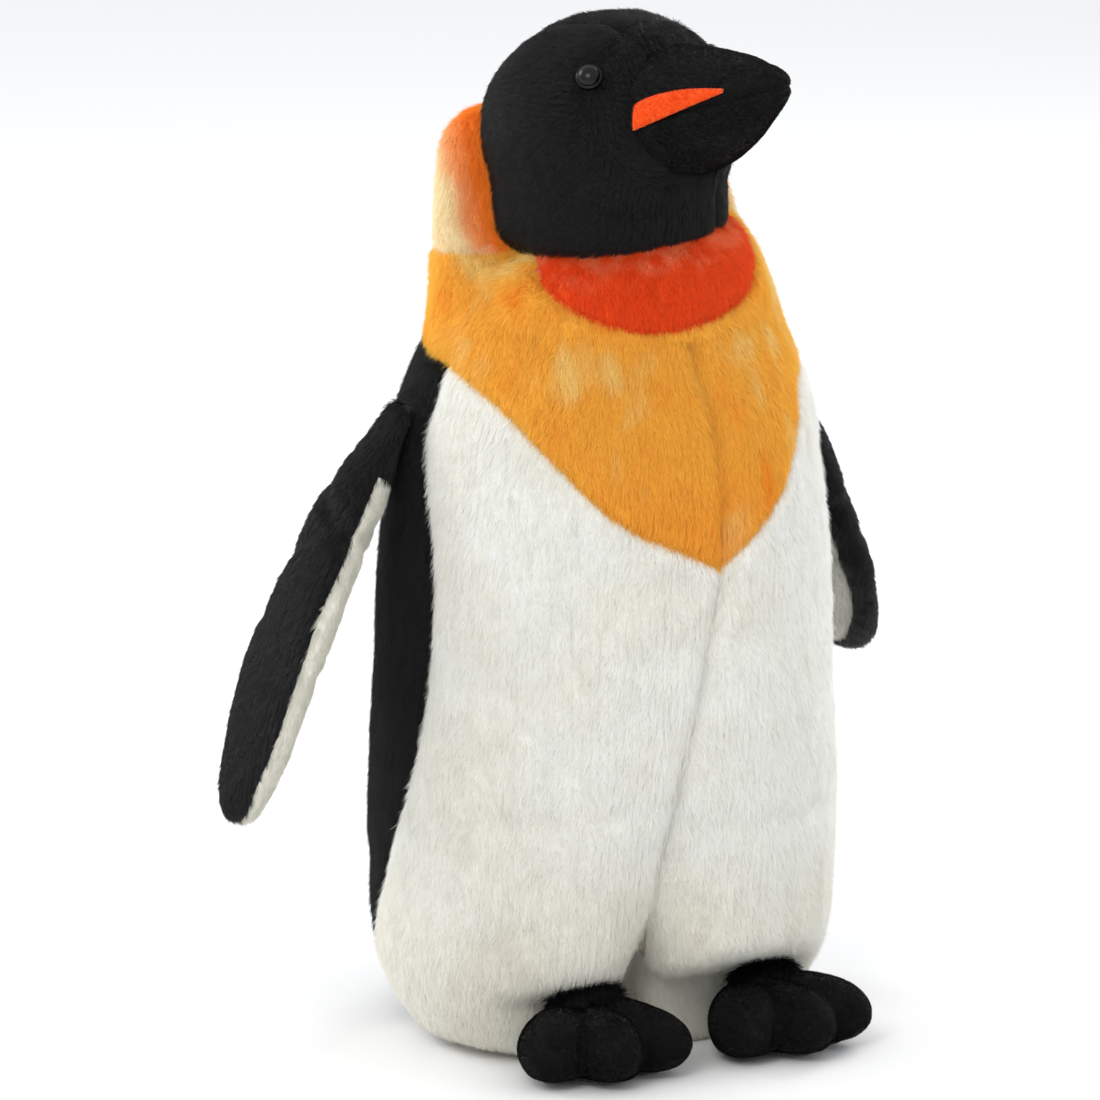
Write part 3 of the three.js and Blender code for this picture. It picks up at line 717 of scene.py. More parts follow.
def grow(name, body, skin, comb, length, per_mm2, material, lift=0.55, radius=0.11, clump=3.0, pull=0.5,
         wander=0.28, seed=1, where=None, joints=5, frizz=0.10, uneven=0.05):
    """Pile on a skin: one hair per root, leaning along comb. It isn't a piece, and rides with its skin."""
    me = skin.data
    me.calc_loop_triangles()
    tri = np.empty(len(me.loop_triangles) * 3, np.int32)
    me.loop_triangles.foreach_get("vertices", tri)
    tri = tri.reshape(-1, 3)
    co, no = points_of(skin), normals_of(skin)
    tint = np.empty(len(co) * 4, np.float32)
    me.color_attributes["tint"].data.foreach_get("color", tint)
    tint = tint.reshape(-1, 4)[:, :3]
    corner = co[tri]
    area = np.linalg.norm(np.cross(corner[:, 1] - corner[:, 0], corner[:, 2] - corner[:, 0]), axis=1) / 2
    rng = np.random.default_rng(seed)
    n = int(area.sum() * per_mm2 * STRANDS)
    pick = rng.choice(len(tri), n, p=area / area.sum())
    u, v = rng.random(n), rng.random(n)
    flip = u + v > 1
    u[flip], v[flip] = 1 - u[flip], 1 - v[flip]
    w = np.stack([1 - u - v, u, v], 1)[:, :, None]
    p = (co[tri[pick]] * w).sum(1)
    keep = np.ones(n, bool) if where is None else rng.random(n) < where(p)
    pick, w, p = pick[keep], w[keep], p[keep]
    n = len(p)
    if not n:
        return None
    nor = unit((no[tri[pick]] * w).sum(1))
    col = (tint[tri[pick]] * w).sum(1)
    way = comb(p)
    way = way + wander * np.stack([noise(p, 11, seed * 7 + k) for k in range(3)], 1)
    way = unit(way - (way * nor).sum(1)[:, None] * nor)
    base = length(p) if callable(length) else np.full(n, float(length))
    base = base * (0.72 + 0.28 * rng.random(n)) * (1 + 0.16 * noise(p, 8, seed + 50))
    cell = np.floor(p / clump).astype(np.int64)
    shift = np.stack([lattice(cell, seed + 60 + k) * 2 - 1 for k in range(3)], -1)
    middle = (cell + 0.5 + 0.35 * shift) * clump
    to_middle = middle - p
    to_middle = to_middle - (to_middle * nor).sum(1)[:, None] * nor
    jitter = rng.normal(0, 1, (n, 3))
    s = np.linspace(0, 1, joints)[None, :, None]
    up = lift * (s - 0.45 * s * s)
    along = (1 - lift) * 0.5 * s + (0.35 + 0.35 * (1 - lift)) * s * s
    line = (
        p[:, None, :]
        + base[:, None, None] * (nor[:, None, :] * up + way[:, None, :] * along)
        + to_middle[:, None, :] * (pull * s * s)
        + jitter[:, None, :] * base[:, None, None] * frizz * s * s
    )
    line[:, :, 2] = np.maximum(line[:, :, 2], 0.3)
    shade = 1 + uneven * (rng.normal(0, 1, (n, 1)) + 0.6 * (lattice(cell, seed + 70) * 2 - 1)[:, None])
    col = np.clip(col * shade, 0, 1)
    hc = bpy.data.hair_curves.new(name)
    hc.add_curves([joints] * n)
    hc.attributes["position"].data.foreach_set("vector", (line * MM).astype(np.float32).ravel())
    thick = hc.attributes.get("radius") or hc.attributes.new("radius", "FLOAT", "POINT")
    taper = (1 - 0.8 * np.linspace(0, 1, joints) ** 1.5)[None, :] * radius * MM / math.sqrt(STRANDS)
    thick.data.foreach_set("value", np.repeat(taper, n, 0).astype(np.float32).ravel())
    a = hc.attributes.new("tint", "FLOAT_COLOR", "CURVE")
    a.data.foreach_set("color", np.hstack([col, np.ones((n, 1))]).astype(np.float32).ravel())
    ob = bpy.data.objects.new(name, hc)
    bpy.context.scene.collection.objects.link(ob)
    hc.materials.append(material)
    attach(ob, body)
    return ob


def relief(ob, amount, size, seed):
    """Lumps of pile, as geometry."""
    p = points_of(ob)
    lumps = 0.65 * noise(p, size, seed) + 0.35 * noise(p, np.asarray(size) * 0.45, seed + 1)
    set_points(ob, p + normals_of(ob) * (amount * lumps)[:, None])
    return ob


def put(ob, body, slot, material, *nodes):
    """Gives a piece its material and body, and lets it stand for its CAD nodes; slot is not used."""
    ob.data.materials.clear()
    ob.data.materials.append(material)
    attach(ob, body)
    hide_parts(*nodes)


def sewn_piece(ob, body, slot, material, nodes, thick=1.4):
    """A cut panel, given its thickness."""
    modify(ob, "SOLIDIFY", thickness=thick * MM, offset=-1.0, use_even_offset=False, use_rim=True)
    applied(ob)
    put(ob, body, slot, material, *nodes)

# ---------------------------------------------------------------- camera and light
AZIMUTH, ELEVATION, DISTANCE = -30.0, 12.0, 4.0
AIM = Vector((-0.0164, 0.0094, 0.185))
a, e = math.radians(AZIMUTH), math.radians(ELEVATION)
cam = bpy.data.objects.new("camera", bpy.data.cameras.new("camera"))
bpy.context.scene.collection.objects.link(cam)
cam.location = AIM + DISTANCE * Vector((math.sin(a) * math.cos(e), -math.cos(a) * math.cos(e), math.sin(e)))
cam.rotation_euler = (AIM - cam.location).to_track_quat("-Z", "Y").to_euler()
cam.data.sensor_width = 36
cam.data.lens = 36 * DISTANCE / 0.415
bpy.context.scene.camera = cam
bpy.context.scene.view_settings.view_transform = "Standard"

world = bpy.data.worlds.new("studio")
world.use_nodes = True
world.node_tree.nodes["Background"].inputs["Color"].default_value = (0.97, 0.98, 1.0, 1)
world.node_tree.nodes["Background"].inputs["Strength"].default_value = 0.92
bpy.context.scene.world = world


def lamp(name, place, size, watts, colour=(1, 1, 1)):
    d = bpy.data.lights.new(name, "AREA")
    d.size, d.energy, d.color = size, watts, colour
    o = bpy.data.objects.new(name, d)
    bpy.context.scene.collection.objects.link(o)
    o.location = place
    o.rotation_euler = (Vector((0, 0, 0.2)) - o.location).to_track_quat("-Z", "Y").to_euler()


lamp("key", (-1.3, -1.2, 1.5), 0.9, 14, (1, 0.985, 0.96))
lamp("rim", (-1.2, 1.2, 1.3), 0.8, 12)
lamp("rim_right", (1.4, 0.7, 1.2), 0.8, 9)

floor = mesh_of("floor", [(-4e4, -4e4, -0.2), (4e4, -4e4, -0.2), (4e4, 4e4, -0.2), (-4e4, 4e4, -0.2)],
                [(0, 1, 2, 3)])
floor_m, *_, floor_b = shader("floor", 0.9, 0.1)
floor_b.inputs["Base Color"].default_value = (0.93, 0.93, 0.93, 1)
floor.data.materials.append(floor_m)


# ---------------------------------------------------------------- trunk
def trunk_rings(inset, cols=150):
    a = np.linspace(-180, 180, cols, endpoint=False)
    rim = rim_height(a)
    base_rings, wall_rings = 14, 64
    rings = [trunk(a, 0, inset) * [s, s, 1] for s in np.linspace(0.05, 0.96, base_rings)]
    for v in np.linspace(0, 1, wall_rings):
        rings.append(trunk(a, (rim - 0.01) * (1 - math.cos(math.pi * v)) / 2, inset))
    t = np.radians(a)
    for up in (3, 6, 9, 12, 15):
        z = rim + up
        r = neck_radius(z) - 3.4
        rings.append(np.stack([r * np.sin(t), HEAD_CENTRE[1] - r * np.cos(t), z], -1))
    last = rings[-1]
    centre = last.mean(0)
    for share in np.linspace(0.94, 0.04, 14):
        rings.append(centre + (last - centre) * share)
    rings = np.array(rings)
    for ring in rings[:base_rings + wall_rings]:
        inside = foot_room(ring) < 0
        ring[inside, 2] = roof_over(ring[inside, 1])
    return rings


def bib_field(p):
    a = seam_angle(p)
    return p[:, 2] - np.where(np.abs(a) < NAPE_START, bib_low(a), BIB_BACK)


def white_field(p):
    return np.abs(seam_angle(p)) - white_edge(p[:, 2])


def middle_field(p):
    """Zero at the front and back seams."""
    return np.sin(np.radians(seam_angle(p))) * 60


def throat_field(p):
    a = trunk_angle(p)
    return np.where(np.abs(a - 11) < 85, p[:, 2] - throat_low(a), -20)


def patch_field(p):
    """Above zero on the neck patches, which start at the sides and lie over the bib."""
    return np.minimum(p[:, 2] - PATCH_LOW, (np.abs(trunk_angle(p)) - PATCH_START) * 0.9)


def nape_field(p):
    return np.where(p[:, 2] > 255, np.abs(trunk_angle(p)) - NAPE_START, -20)


def trunk_seams(p):
    """Distance in mm, roughly, from the nearest seam line of the trunk."""
    far = 99.0
    z, mm = p[:, 2], math.pi / 180 * np.hypot(p[:, 0], p[:, 1])
    bib, throat, patch, nape = bib_field(p), throat_field(p), patch_field(p), nape_field(p)
    above, collar = bib > 0, (throat > 0) | (patch > 0)
    return np.minimum.reduce([
        np.abs(bib) * 0.86,
        np.where(bib < 2, np.abs(white_field(p)) * mm, far),
        np.abs(throat) * 0.9,
        np.where(np.abs(trunk_angle(p)) < NAPE_START, np.abs(patch), far),
        np.where(above, np.abs(nape) * mm, far),
        np.where((nape < 0) | ~above, np.where(collar & (throat > 0), far, np.abs(middle_field(p))), far),
        np.abs(z - HEM),
    ])


def below_rim(p):
    """Above zero on the trunk and on the strip of the collar's edge that is tucked in against the head."""
    return np.where(p[:, 2] > 270, rim_height(trunk_angle(p)) + TUCK - p[:, 2], 30)


def notch_depth(p):
    """The parting of the legs, cut into the groove from its foot up."""
    notch = np.clip((NOTCH_TOP - p[:, 2]) / 32, 0, 1)
    return NOTCH_DEEP * notch * np.exp(-((seam_angle(p) / (2.5 + 4.5 * notch)) ** 2))


def base_field(p):
    """Below zero on the base cloth: the flat base and the gusset between the legs."""
    z = p[:, 2]
    across = np.abs(seam_angle(p)) * math.pi / 180 * np.hypot(p[:, 0], p[:, 1])
    gusset = across - 6.0 * np.clip((54 - z) / 28, -1, 1) + 20 * smooth(p[:, 1], -45, -35)
    return np.minimum(gusset, z - HEM)


skin = closed("trunk_skin", trunk_rings(2.2))
remeshed(skin, 3.0, soften=4)
p = points_of(skin)
held = 1 - smooth(trunk_seams(p), 1.0, 5.0)
held = np.maximum(held, 1 - smooth(p[:, 2], 1, 6))
held = np.maximum(held, 1 - smooth(below_rim(p), TUCK, TUCK + 5))
held = np.maximum(held, foot_room(p) < 2)
settled(skin, held, 3.0, soften=2)

p, n = points_of(skin), normals_of(skin)
seam = trunk_seams(p)
a, z = seam_angle(p), p[:, 2]
push = -1.6 * np.exp(-((seam / 2.4) ** 2))
push -= 2.6 * np.exp(-((a / 5.0) ** 2)) * (z < 276) * smooth(z, 40, 90)
push -= notch_depth(p)
push += 3.0 * np.exp(-((a / 32) ** 2)) * np.exp(-(((z - 200) / 45) ** 2))
# Soft folds across the belly, and the slack of a filled bag.
for height, deep, spread, tilt, centre, wide in (
    (100, 1.7, 5, 0.10, -38, 30), (92, 1.4, 5, -0.08, 36, 26), (148, 0.9, 7, -0.05, -30, 34),
    (58, 1.3, 6, 0.12, -46, 24), (170, 0.8, 8, 0.05, 30, 30), (120, 0.8, 7, 0.0, 130, 40),
    (70, 1.0, 7, 0.05, -120, 40), (230, 0.9, 7, 0.1, -50, 26), (226, 0.8, 7, -0.1, 48, 26),
):
    line = height + tilt * (a - centre) + 3 * noise(p, 30, int(height))
    fold = np.exp(-(((z - line) / spread) ** 2)) * np.exp(-(((a - centre) / wide) ** 2))
    push -= deep * fold
push += 1.3 * noise(p, (38, 38, 46), 21)
push += np.where(foot_room(p) > 2, 0.35 * noise(p, (3.4, 3.4, 8), 22), 0)
push += 2.2 * np.exp(-(((z - 243) / 22) ** 2))
push += 6.5 * np.exp(-(((p[:, 1] - 9) / 14) ** 2) - ((z - 229) / 15) ** 2) * (np.abs(p[:, 0]) > 40)
push *= smooth(below_rim(p), TUCK - 3, TUCK + 4)
p = p + n * push[:, None]
p[:, 2] = np.maximum(p[:, 2], 0)
set_points(skin, p)

cut_along(skin, [
    middle_field, bib_field, white_field, throat_field, patch_field, nape_field,
    base_field, below_rim,
])
c = centres_of(skin)
shown = below_rim(c) > 0
under = base_field(c) < 0
above = bib_field(c) > 0
throat = above & (throat_field(c) > 0)
nape = above & (nape_field(c) > 0)
patch = above & ~nape & (patch_field(c) > 0)
bib = above & ~throat & ~patch & ~nape
white = ~above & (white_field(c) < 0)
to_left = middle_field(c) > 0
DOWN = lie(HERE, (0, 0, -1))


def down_and_out(p):
    """The belly's pile lies down, and a little away from its centre seam."""
    way = np.tile([0.0, 0.0, -1.0], (len(p), 1))
    way[:, 0] = 0.18 * np.sign(seam_angle(p))
    return unit(way)


for word, side in SIDES:
    half = to_left == (side > 0)
    for stem, mask, colour, slot, m, strand, length, thick_pile, comb, seed in (
        ("belly_panel", white, belly_colour, "belly_pile", "belly", "pale_strand", 5.6, 4.4, down_and_out, 1),
        ("back_panel", ~above & ~white, black_colour, "black_pile", "black", "black_strand", 4.6, 3.4, DOWN, 2),
        ("bib_panel", bib, gold_colour, "gold_pile", "gold", "gold_strand", 6.0, 4.4, DOWN, 3),
        ("neck_patch", patch, patch_colour, "neck_pile", "gold", "gold_strand", 6.0, 4.4, DOWN, 4),
    ):
        name = f"{stem}_{word}"
        ob = taken(skin, name + "_pile", mask & half & shown & ~under)
        tinted(ob, colour)
        grow(name + "_strands", "root", ob, comb, length, thick_pile, M[strand], radius=0.085, clump=2.8,
             pull=0.42, wander=0.5 if seed > 2 else 0.36, frizz=0.13, seed=seed * 10 + side)
        sewn_piece(ob, "root", slot, M[m], [name])
for name, mask, colour, slot, m, strand, seed in (
    ("throat_patch", throat, throat_colour, "throat_pile", "gold", "gold_strand", 51),
    ("nape_panel", nape, black_colour, "black_pile", "black", "black_strand", 52),
):
    ob = taken(skin, name + "_pile", mask & shown & ~under)
    tinted(ob, colour)
    grow(name + "_strands", "root", ob, DOWN, 5.2, 4.0, M[strand], radius=0.085, clump=2.8, pull=0.32,
         wander=0.4, frizz=0.13, seed=seed)
    sewn_piece(ob, "root", slot, M[m], [name])
ob = taken(skin, "base_cloth", under)
sewn_piece(ob, "root", "base_cloth", M["base"], ["base_panel"])
drop(skin)


# ---------------------------------------------------------------- head
def eye_place(side):
    """(centre, outward direction) of an eye, in the head's frame."""
    at = head_point(side * EYE_SIDE, EYE_DOWN, 0)
    return at, unit(at)


def beak_depth(q):
    """How far head-frame points are inside the beak's surface, over its length; below zero outside."""
    s = beak_section(np.clip(-q[:, 1], BEAK_ROOT, BEAK_TIP))
    r = np.sqrt((q[:, 0] / s[:, 1]) ** 2 + ((q[:, 2] - s[:, 0]) / s[:, 2]) ** 2)
    return np.where(-q[:, 1] > 12, (1 - r) * s[:, 2], -30)


sides = np.linspace(0, 360, 120, endpoint=False)
skin = closed("head_skin", [HEAD.out(head_point(sides, d, 2.0)) for d in np.linspace(2, 178, 78)])
remeshed(skin, 2.4, soften=3)
q = HEAD.into(points_of(skin))
held = 1 - smooth(np.abs(np.abs(q[:, 0]) - GUSSET_HALF), 1, 4)
held = np.maximum(held, 1 - smooth(q[:, 2], -44, -36))
held = np.maximum(held, smooth(beak_depth(q), -4, 0))
settled(skin, held, 1.8, soften=2)
p, n = points_of(skin), normals_of(skin)
q = HEAD.into(p)
push = -1.1 * np.exp(-(((np.abs(q[:, 0]) - GUSSET_HALF) / 2.2) ** 2))
for side in (1, -1):
    at, _ = eye_place(side)
    away = np.linalg.norm(q - at, axis=1)
    push -= 1.6 * np.exp(-((away / 6.5) ** 2))
push += 0.8 * noise(p, 26, 31) + 0.30 * noise(p, (3, 3, 5), 32)
set_points(skin, p + n * push[:, None])
cut_along(skin, [
    lambda w: np.abs(HEAD.into(w)[:, 0]) - GUSSET_HALF,
    lambda w: HEAD.into(w)[:, 2] + 50,
    lambda w: np.maximum(HEAD.into(w)[:, 1] + 10, HEAD.into(w)[:, 2] - 12),
])
c = HEAD.into(centres_of(skin))
shown = (c[:, 2] > -50) & (beak_depth(c) < 3.5)
side_part = np.abs(c[:, 0]) > GUSSET_HALF
chin = ~side_part & (c[:, 1] < -10) & (c[:, 2] < 12)


def comb_head(w):
    """Back from the beak over the crown, and down the cheeks."""
    q = HEAD.into(w)
    way = np.stack([0.35 * np.sign(q[:, 0]) * smooth(np.abs(q[:, 0]), 4, 30), np.full(len(q), 0.75),
                    -0.35 - 0.8 * smooth(-q[:, 2], -25, 25)], 1)
    return unit(way) @ HEAD.turn.T


def from_eyes(q):
    """Distance of head-frame points from the nearer eye."""
    return np.minimum(*[np.linalg.norm(q - eye_place(s)[0], axis=1) for s in (1, -1)])


def clear_of_eyes(w):
    return (from_eyes(HEAD.into(w)) > 4.7).astype(float)


def head_length(w):
    q = HEAD.into(w)
    near = from_eyes(q)
    ruff = smooth(beak_depth(q), -9, -1) * smooth(-q[:, 2], -22, 6)
    return 3.6 - 1.6 * np.exp(-((near / 9) ** 2)) + 3.2 * ruff + 1.0 * smooth(-q[:, 2], 20, 45)


def strands_forward(w):
    """Over the beak's seam the pile stands forward instead of back."""
    q = HEAD.into(w)
    forward = smooth(beak_depth(q), -10, -3)[:, None]
    ahead = np.tile(np.array([0.0, -1.0, -0.35]) @ HEAD.turn.T, (len(q), 1))
    return unit(comb_head(w) * (1 - forward) + ahead * forward)


for name, mask, seed in (
    ("head_side_left", side_part & (c[:, 0] > 0), 61), ("head_side_right", side_part & (c[:, 0] < 0), 62),
    ("head_gusset", ~side_part & ~chin, 63), ("chin_panel", chin, 64),
):
    ob = taken(skin, name + "_pile", mask & shown)
    tinted(ob, black_colour)
    grow(name + "_strands", "head", ob, strands_forward, head_length, 4.2, M["black_strand"], lift=0.5,
         radius=0.09, clump=2.2, seed=seed, where=clear_of_eyes)
    sewn_piece(ob, "head", "black_pile", M["black"], [name])
drop(skin)

# ---------------------------------------------------------------- beak
turns = np.linspace(0, 360, 72, endpoint=False)
stations = BEAK_ROOT + 60.8 * np.linspace(0, 1, 44) ** 0.8
skin = closed("beak_skin", [HEAD.out(beak_point(y, turns, 0.9)) for y in stations])
remeshed(skin, 1.6, soften=3)


def beak_seam(w):
    q = HEAD.into(w)
    rise = (BEAK_SEAM_TIP - BEAK_SEAM_BACK) * (-q[:, 1] - BEAK_ROOT) / (BEAK_TIP - BEAK_ROOT)
    return q[:, 2] - (BEAK_SEAM_BACK + rise)


held = 1 - smooth(np.abs(beak_seam(points_of(skin))), 0.8, 3)
held = np.maximum(held, HEAD.into(points_of(skin))[:, 1] > -34)
settled(skin, held, 0.9)
p, n = points_of(skin), normals_of(skin)
push = -0.9 * np.exp(-((beak_seam(p) / 1.3) ** 2)) + 0.35 * noise(p, 17, 41) + 0.07 * noise(p, 1.4, 42)
set_points(skin, p + n * push[:, None])
cut_along(skin, [beak_seam])
c = centres_of(skin)
shown = HEAD.into(c)[:, 1] < -31
TO_TIP = lie(HEAD, (0, -1, -0.1))
for name, mask, seed in (("beak_upper", beak_seam(c) > 0, 71), ("beak_lower", beak_seam(c) < 0, 72)):
    ob = taken(skin, name + "_velour", mask & shown)
    tinted(ob, black_colour)
    grow(name + "_strands", "head", ob, TO_TIP, 1.3, 9, M["velour_strand"], lift=0.6, radius=0.07, clump=1.2,
         pull=0.3, seed=seed, joints=3)
    sewn_piece(ob, "head", "beak_velour", M["velour"], [name], thick=1.0)
drop(skin)


def stripe(side):
    """Appliqué on the side of the beak: a rounded back end, drawn out to a point in front."""
    rows, cols = 15, 64
    u = np.linspace(0, 1, cols)[None, :]
    v = np.linspace(0, 1, rows)[:, None]
    ahead = STRIPE_FROM + STRIPE_LONG * u + 0 * v
    low = 9.5 + 16.1 * u
    high = 18 + 9 * np.sin(np.radians(90 * u)) ** 0.55
    z = low + (high - low) * v
    s = beak_section(ahead)
    across = s[..., 1] * np.sqrt(np.maximum(1 - ((z - s[..., 0]) / s[..., 2]) ** 2, 0.02))
    ring = np.minimum(np.minimum(v, 1 - v) * (high - low), np.minimum(u, 1 - u) * 30)
    puffed = 0.5 + 0.95 * np.sqrt(np.clip(ring / 1.6, 0, 1))
    top = np.stack([side * (across + puffed), -ahead, z], -1).reshape(-1, 3)
    bottom = np.stack([side * (across - 0.6), -ahead, z], -1).reshape(-1, 3)
    count = rows * cols
    faces = grid_faces(rows, cols, wrap=False)
    under_faces = [tuple(i + count for i in f[::-1]) for f in faces]
    edge = [(r * cols, (r + 1) * cols) for r in range(rows - 1)]
    edge += [((rows - 1) * cols + k, (rows - 1) * cols + k + 1) for k in range(cols - 1)]
    edge += [((r + 1) * cols + cols - 1, r * cols + cols - 1) for r in reversed(range(rows - 1))]
    edge += [(k + 1, k) for k in reversed(range(cols - 1))]
    faces = faces + under_faces + [(i, j, j + count, i + count) for i, j in edge]
    return outward(mesh_of("stripe", HEAD.out(np.vstack([top, bottom])), faces))


for word, side in SIDES:
    ob = stripe(side)
    ob.name = f"beak_stripe_{word}_velour"
    tinted(ob, plain(ORANGE, 0.06, 3, 44))

    def outside(w, side=side):
        q = HEAD.into(w)
        s = beak_section(-q[:, 1])
        across = s[:, 1] * np.sqrt(np.maximum(1 - ((q[:, 2] - s[:, 0]) / s[:, 2]) ** 2, 0.02))
        return (q[:, 0] * side > across + 0.3).astype(float)

    grow(f"beak_stripe_{word}_strands", "head", ob, TO_TIP, 1.1, 10, M["gold_strand"], lift=0.6, radius=0.07,
         clump=1.2, pull=0.2, seed=73 + side, joints=3, where=outside)
    put(ob, "head", "stripe_velour", M["stripe"], f"beak_stripe_{word}")


# ---------------------------------------------------------------- eyes and their washers
def turned(name, profile, count, at, toward):
    """A turned piece on an axis: the profile lists radius and height along toward, in mm."""
    t = np.linspace(0, 2 * math.pi, count, endpoint=False)
    rings = [np.stack([r * np.cos(t), r * np.sin(t), np.full(count, float(h))], -1) for r, h in profile]
    ob = closed(name, rings)
    turn = np.array(Vector((0, 0, 1)).rotation_difference(Vector(toward)).to_matrix())
    set_points(ob, HEAD.out(points_of(ob) @ turn.T + at))
    return ob


for word, side in SIDES:
    at, toward = eye_place(side)
    flange = [(1.5, -10), (1.5, -1.2), (4.6, -1.2), (5.0, -0.9), (5.0, -0.5), (4.75, -0.2), (4.35, -0.25)]
    down = [math.radians(g) for g in range(90, 2, -8)]
    dome = [(4.25 * math.sin(g), -0.1 + 3.1 * math.cos(g)) for g in down]
    ob = turned(f"eye_{word}_dome", flange + dome + [(0.05, 3.0)], 48, at - 0.7 * toward, toward)
    put(ob, "head", "eye_gloss", M["eye"], f"eye_{word}")
    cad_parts[f"eye_washer_{word}"].data.materials.clear()
    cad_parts[f"eye_washer_{word}"].data.materials.append(M["washer"])


# ---------------------------------------------------------------- flippers
def flipper_skin(word):
    place = FLIPPER[word]
    rings = []
    t = np.linspace(0, 2 * math.pi, 64, endpoint=False)
    end = FLIPPER_LENGTH
    stations = [[1.2, 2.4, 4, 6.5], np.linspace(9, end - 12, 60), end - np.array([9, 6, 3.4, 1.6])]
    for along in np.concatenate(stations):
        wide, plump = flipper_section(along)
        x, y = (wide - 1.6) * np.cos(t), np.maximum(plump - 2.4, 1.8) * np.sin(t)
        flat = np.stack([x, y, np.full(len(t), FLIPPER_HINGE - along)], -1)
        flat[:, 1] += flipper_middle(flat, FLIPPERS[word][-1])
        rings.append(place.out(flat))
    ob = closed("flipper_skin", rings)
    return remeshed(ob, 2.4, soften=6)


for word, (side, *_, bow) in FLIPPERS.items():
    place, body = FLIPPER[word], f"flipper_{word}"
    skin = flipper_skin(word)

    def off_middle(w, place=place, hem=9.0 * (side > 0), bow=bow):
        """Below zero on the lining. On the left the outer cover is turned in over the front edge and the tip, and
        on the right the lining comes round the front edge."""
        q = place.into(w)
        wide, _ = flipper_section(FLIPPER_HINGE - q[:, 2])
        turned_in = np.maximum(q[:, 0] - (wide - 1.6 - hem), FLIPPER_TIP + 1 + hem - q[:, 2]) if hem else -9
        wrap = 2.4 * smooth(-q[:, 0], 8, 26) * smooth(-q[:, 2], 50, 90) if not hem else 0
        return np.maximum(q[:, 1] - flipper_middle(q, bow) - wrap, turned_in)

    def rim_distance(w, place=place):
        q = place.into(w)
        wide, _ = flipper_section(FLIPPER_HINGE - q[:, 2])
        ends = np.minimum(q[:, 2] - FLIPPER_TIP, FLIPPER_HINGE - q[:, 2])
        return np.minimum(wide - 1.6 - np.abs(q[:, 0]), ends)

    p = points_of(skin)
    settled(skin, 1 - smooth(rim_distance(p), 1.0, 5.5), 3.2, pressure=5)
    p, n = points_of(skin), normals_of(skin)
    q = place.into(p)
    push = -0.8 * np.exp(-((off_middle(p) / 1.6) ** 2)) * (q[:, 2] < LINING_START + 2)
    push += 0.9 * noise(p, 30, 81) + 0.3 * noise(p, (3, 3, 6), 82)
    for height, deep, tilt in ((-38, 1.3, 0.5), (-58, 1.0, -0.35), (-96, 0.7, 0.3)):
        push -= deep * np.exp(-(((q[:, 2] - height - tilt * q[:, 0]) / 4.5) ** 2))
    set_points(skin, p + n * push[:, None])
    cut_along(skin, [off_middle, lambda w, place=place: place.into(w)[:, 2] - LINING_START])
    c = centres_of(skin)
    outer = (off_middle(c) > 0) | (place.into(c)[:, 2] > LINING_START)
    comb = lie(place, (0, 0, -1))
    for stem, mask, colour, slot, m, strand, length in (
        ("flipper_outer", outer, black_colour, "black_pile", "black", "black_strand", 4.2),
        ("flipper_lining", ~outer, plain(LINING, 0.03), "belly_pile", "belly", "pale_strand", 4.0),
    ):
        name = f"{stem}_{word}"
        ob = taken(skin, name + "_pile", mask)
        tinted(ob, colour)
        grow(name + "_strands", body, ob, comb, length, 3.2, M[strand], lift=0.42, radius=0.1, seed=83 + side)
        sewn_piece(ob, body, slot, M[m], [name], thick=1.2)
    drop(skin)


# ---------------------------------------------------------------- feet
def ellipsoid(bm, centre, half, turn):
    m = Matrix.Translation(Vector(centre) * MM) @ Matrix.Rotation(math.radians(turn), 4, "Z")
    m = m @ Matrix.Diagonal((*[h * MM for h in half], 1))
    bmesh.ops.create_icosphere(bm, subdivisions=4, radius=1, matrix=m)


def toe_gap(q):
    """Distance, in the foot's frame, from the two creases between the toes."""
    angle = np.degrees(np.arctan2(q[:, 0], -q[:, 1]))
    reach = np.hypot(q[:, 0], q[:, 1])
    return np.where(q[:, 1] < -6, np.abs(np.abs(angle) - 22) * math.pi / 180 * reach, 99)


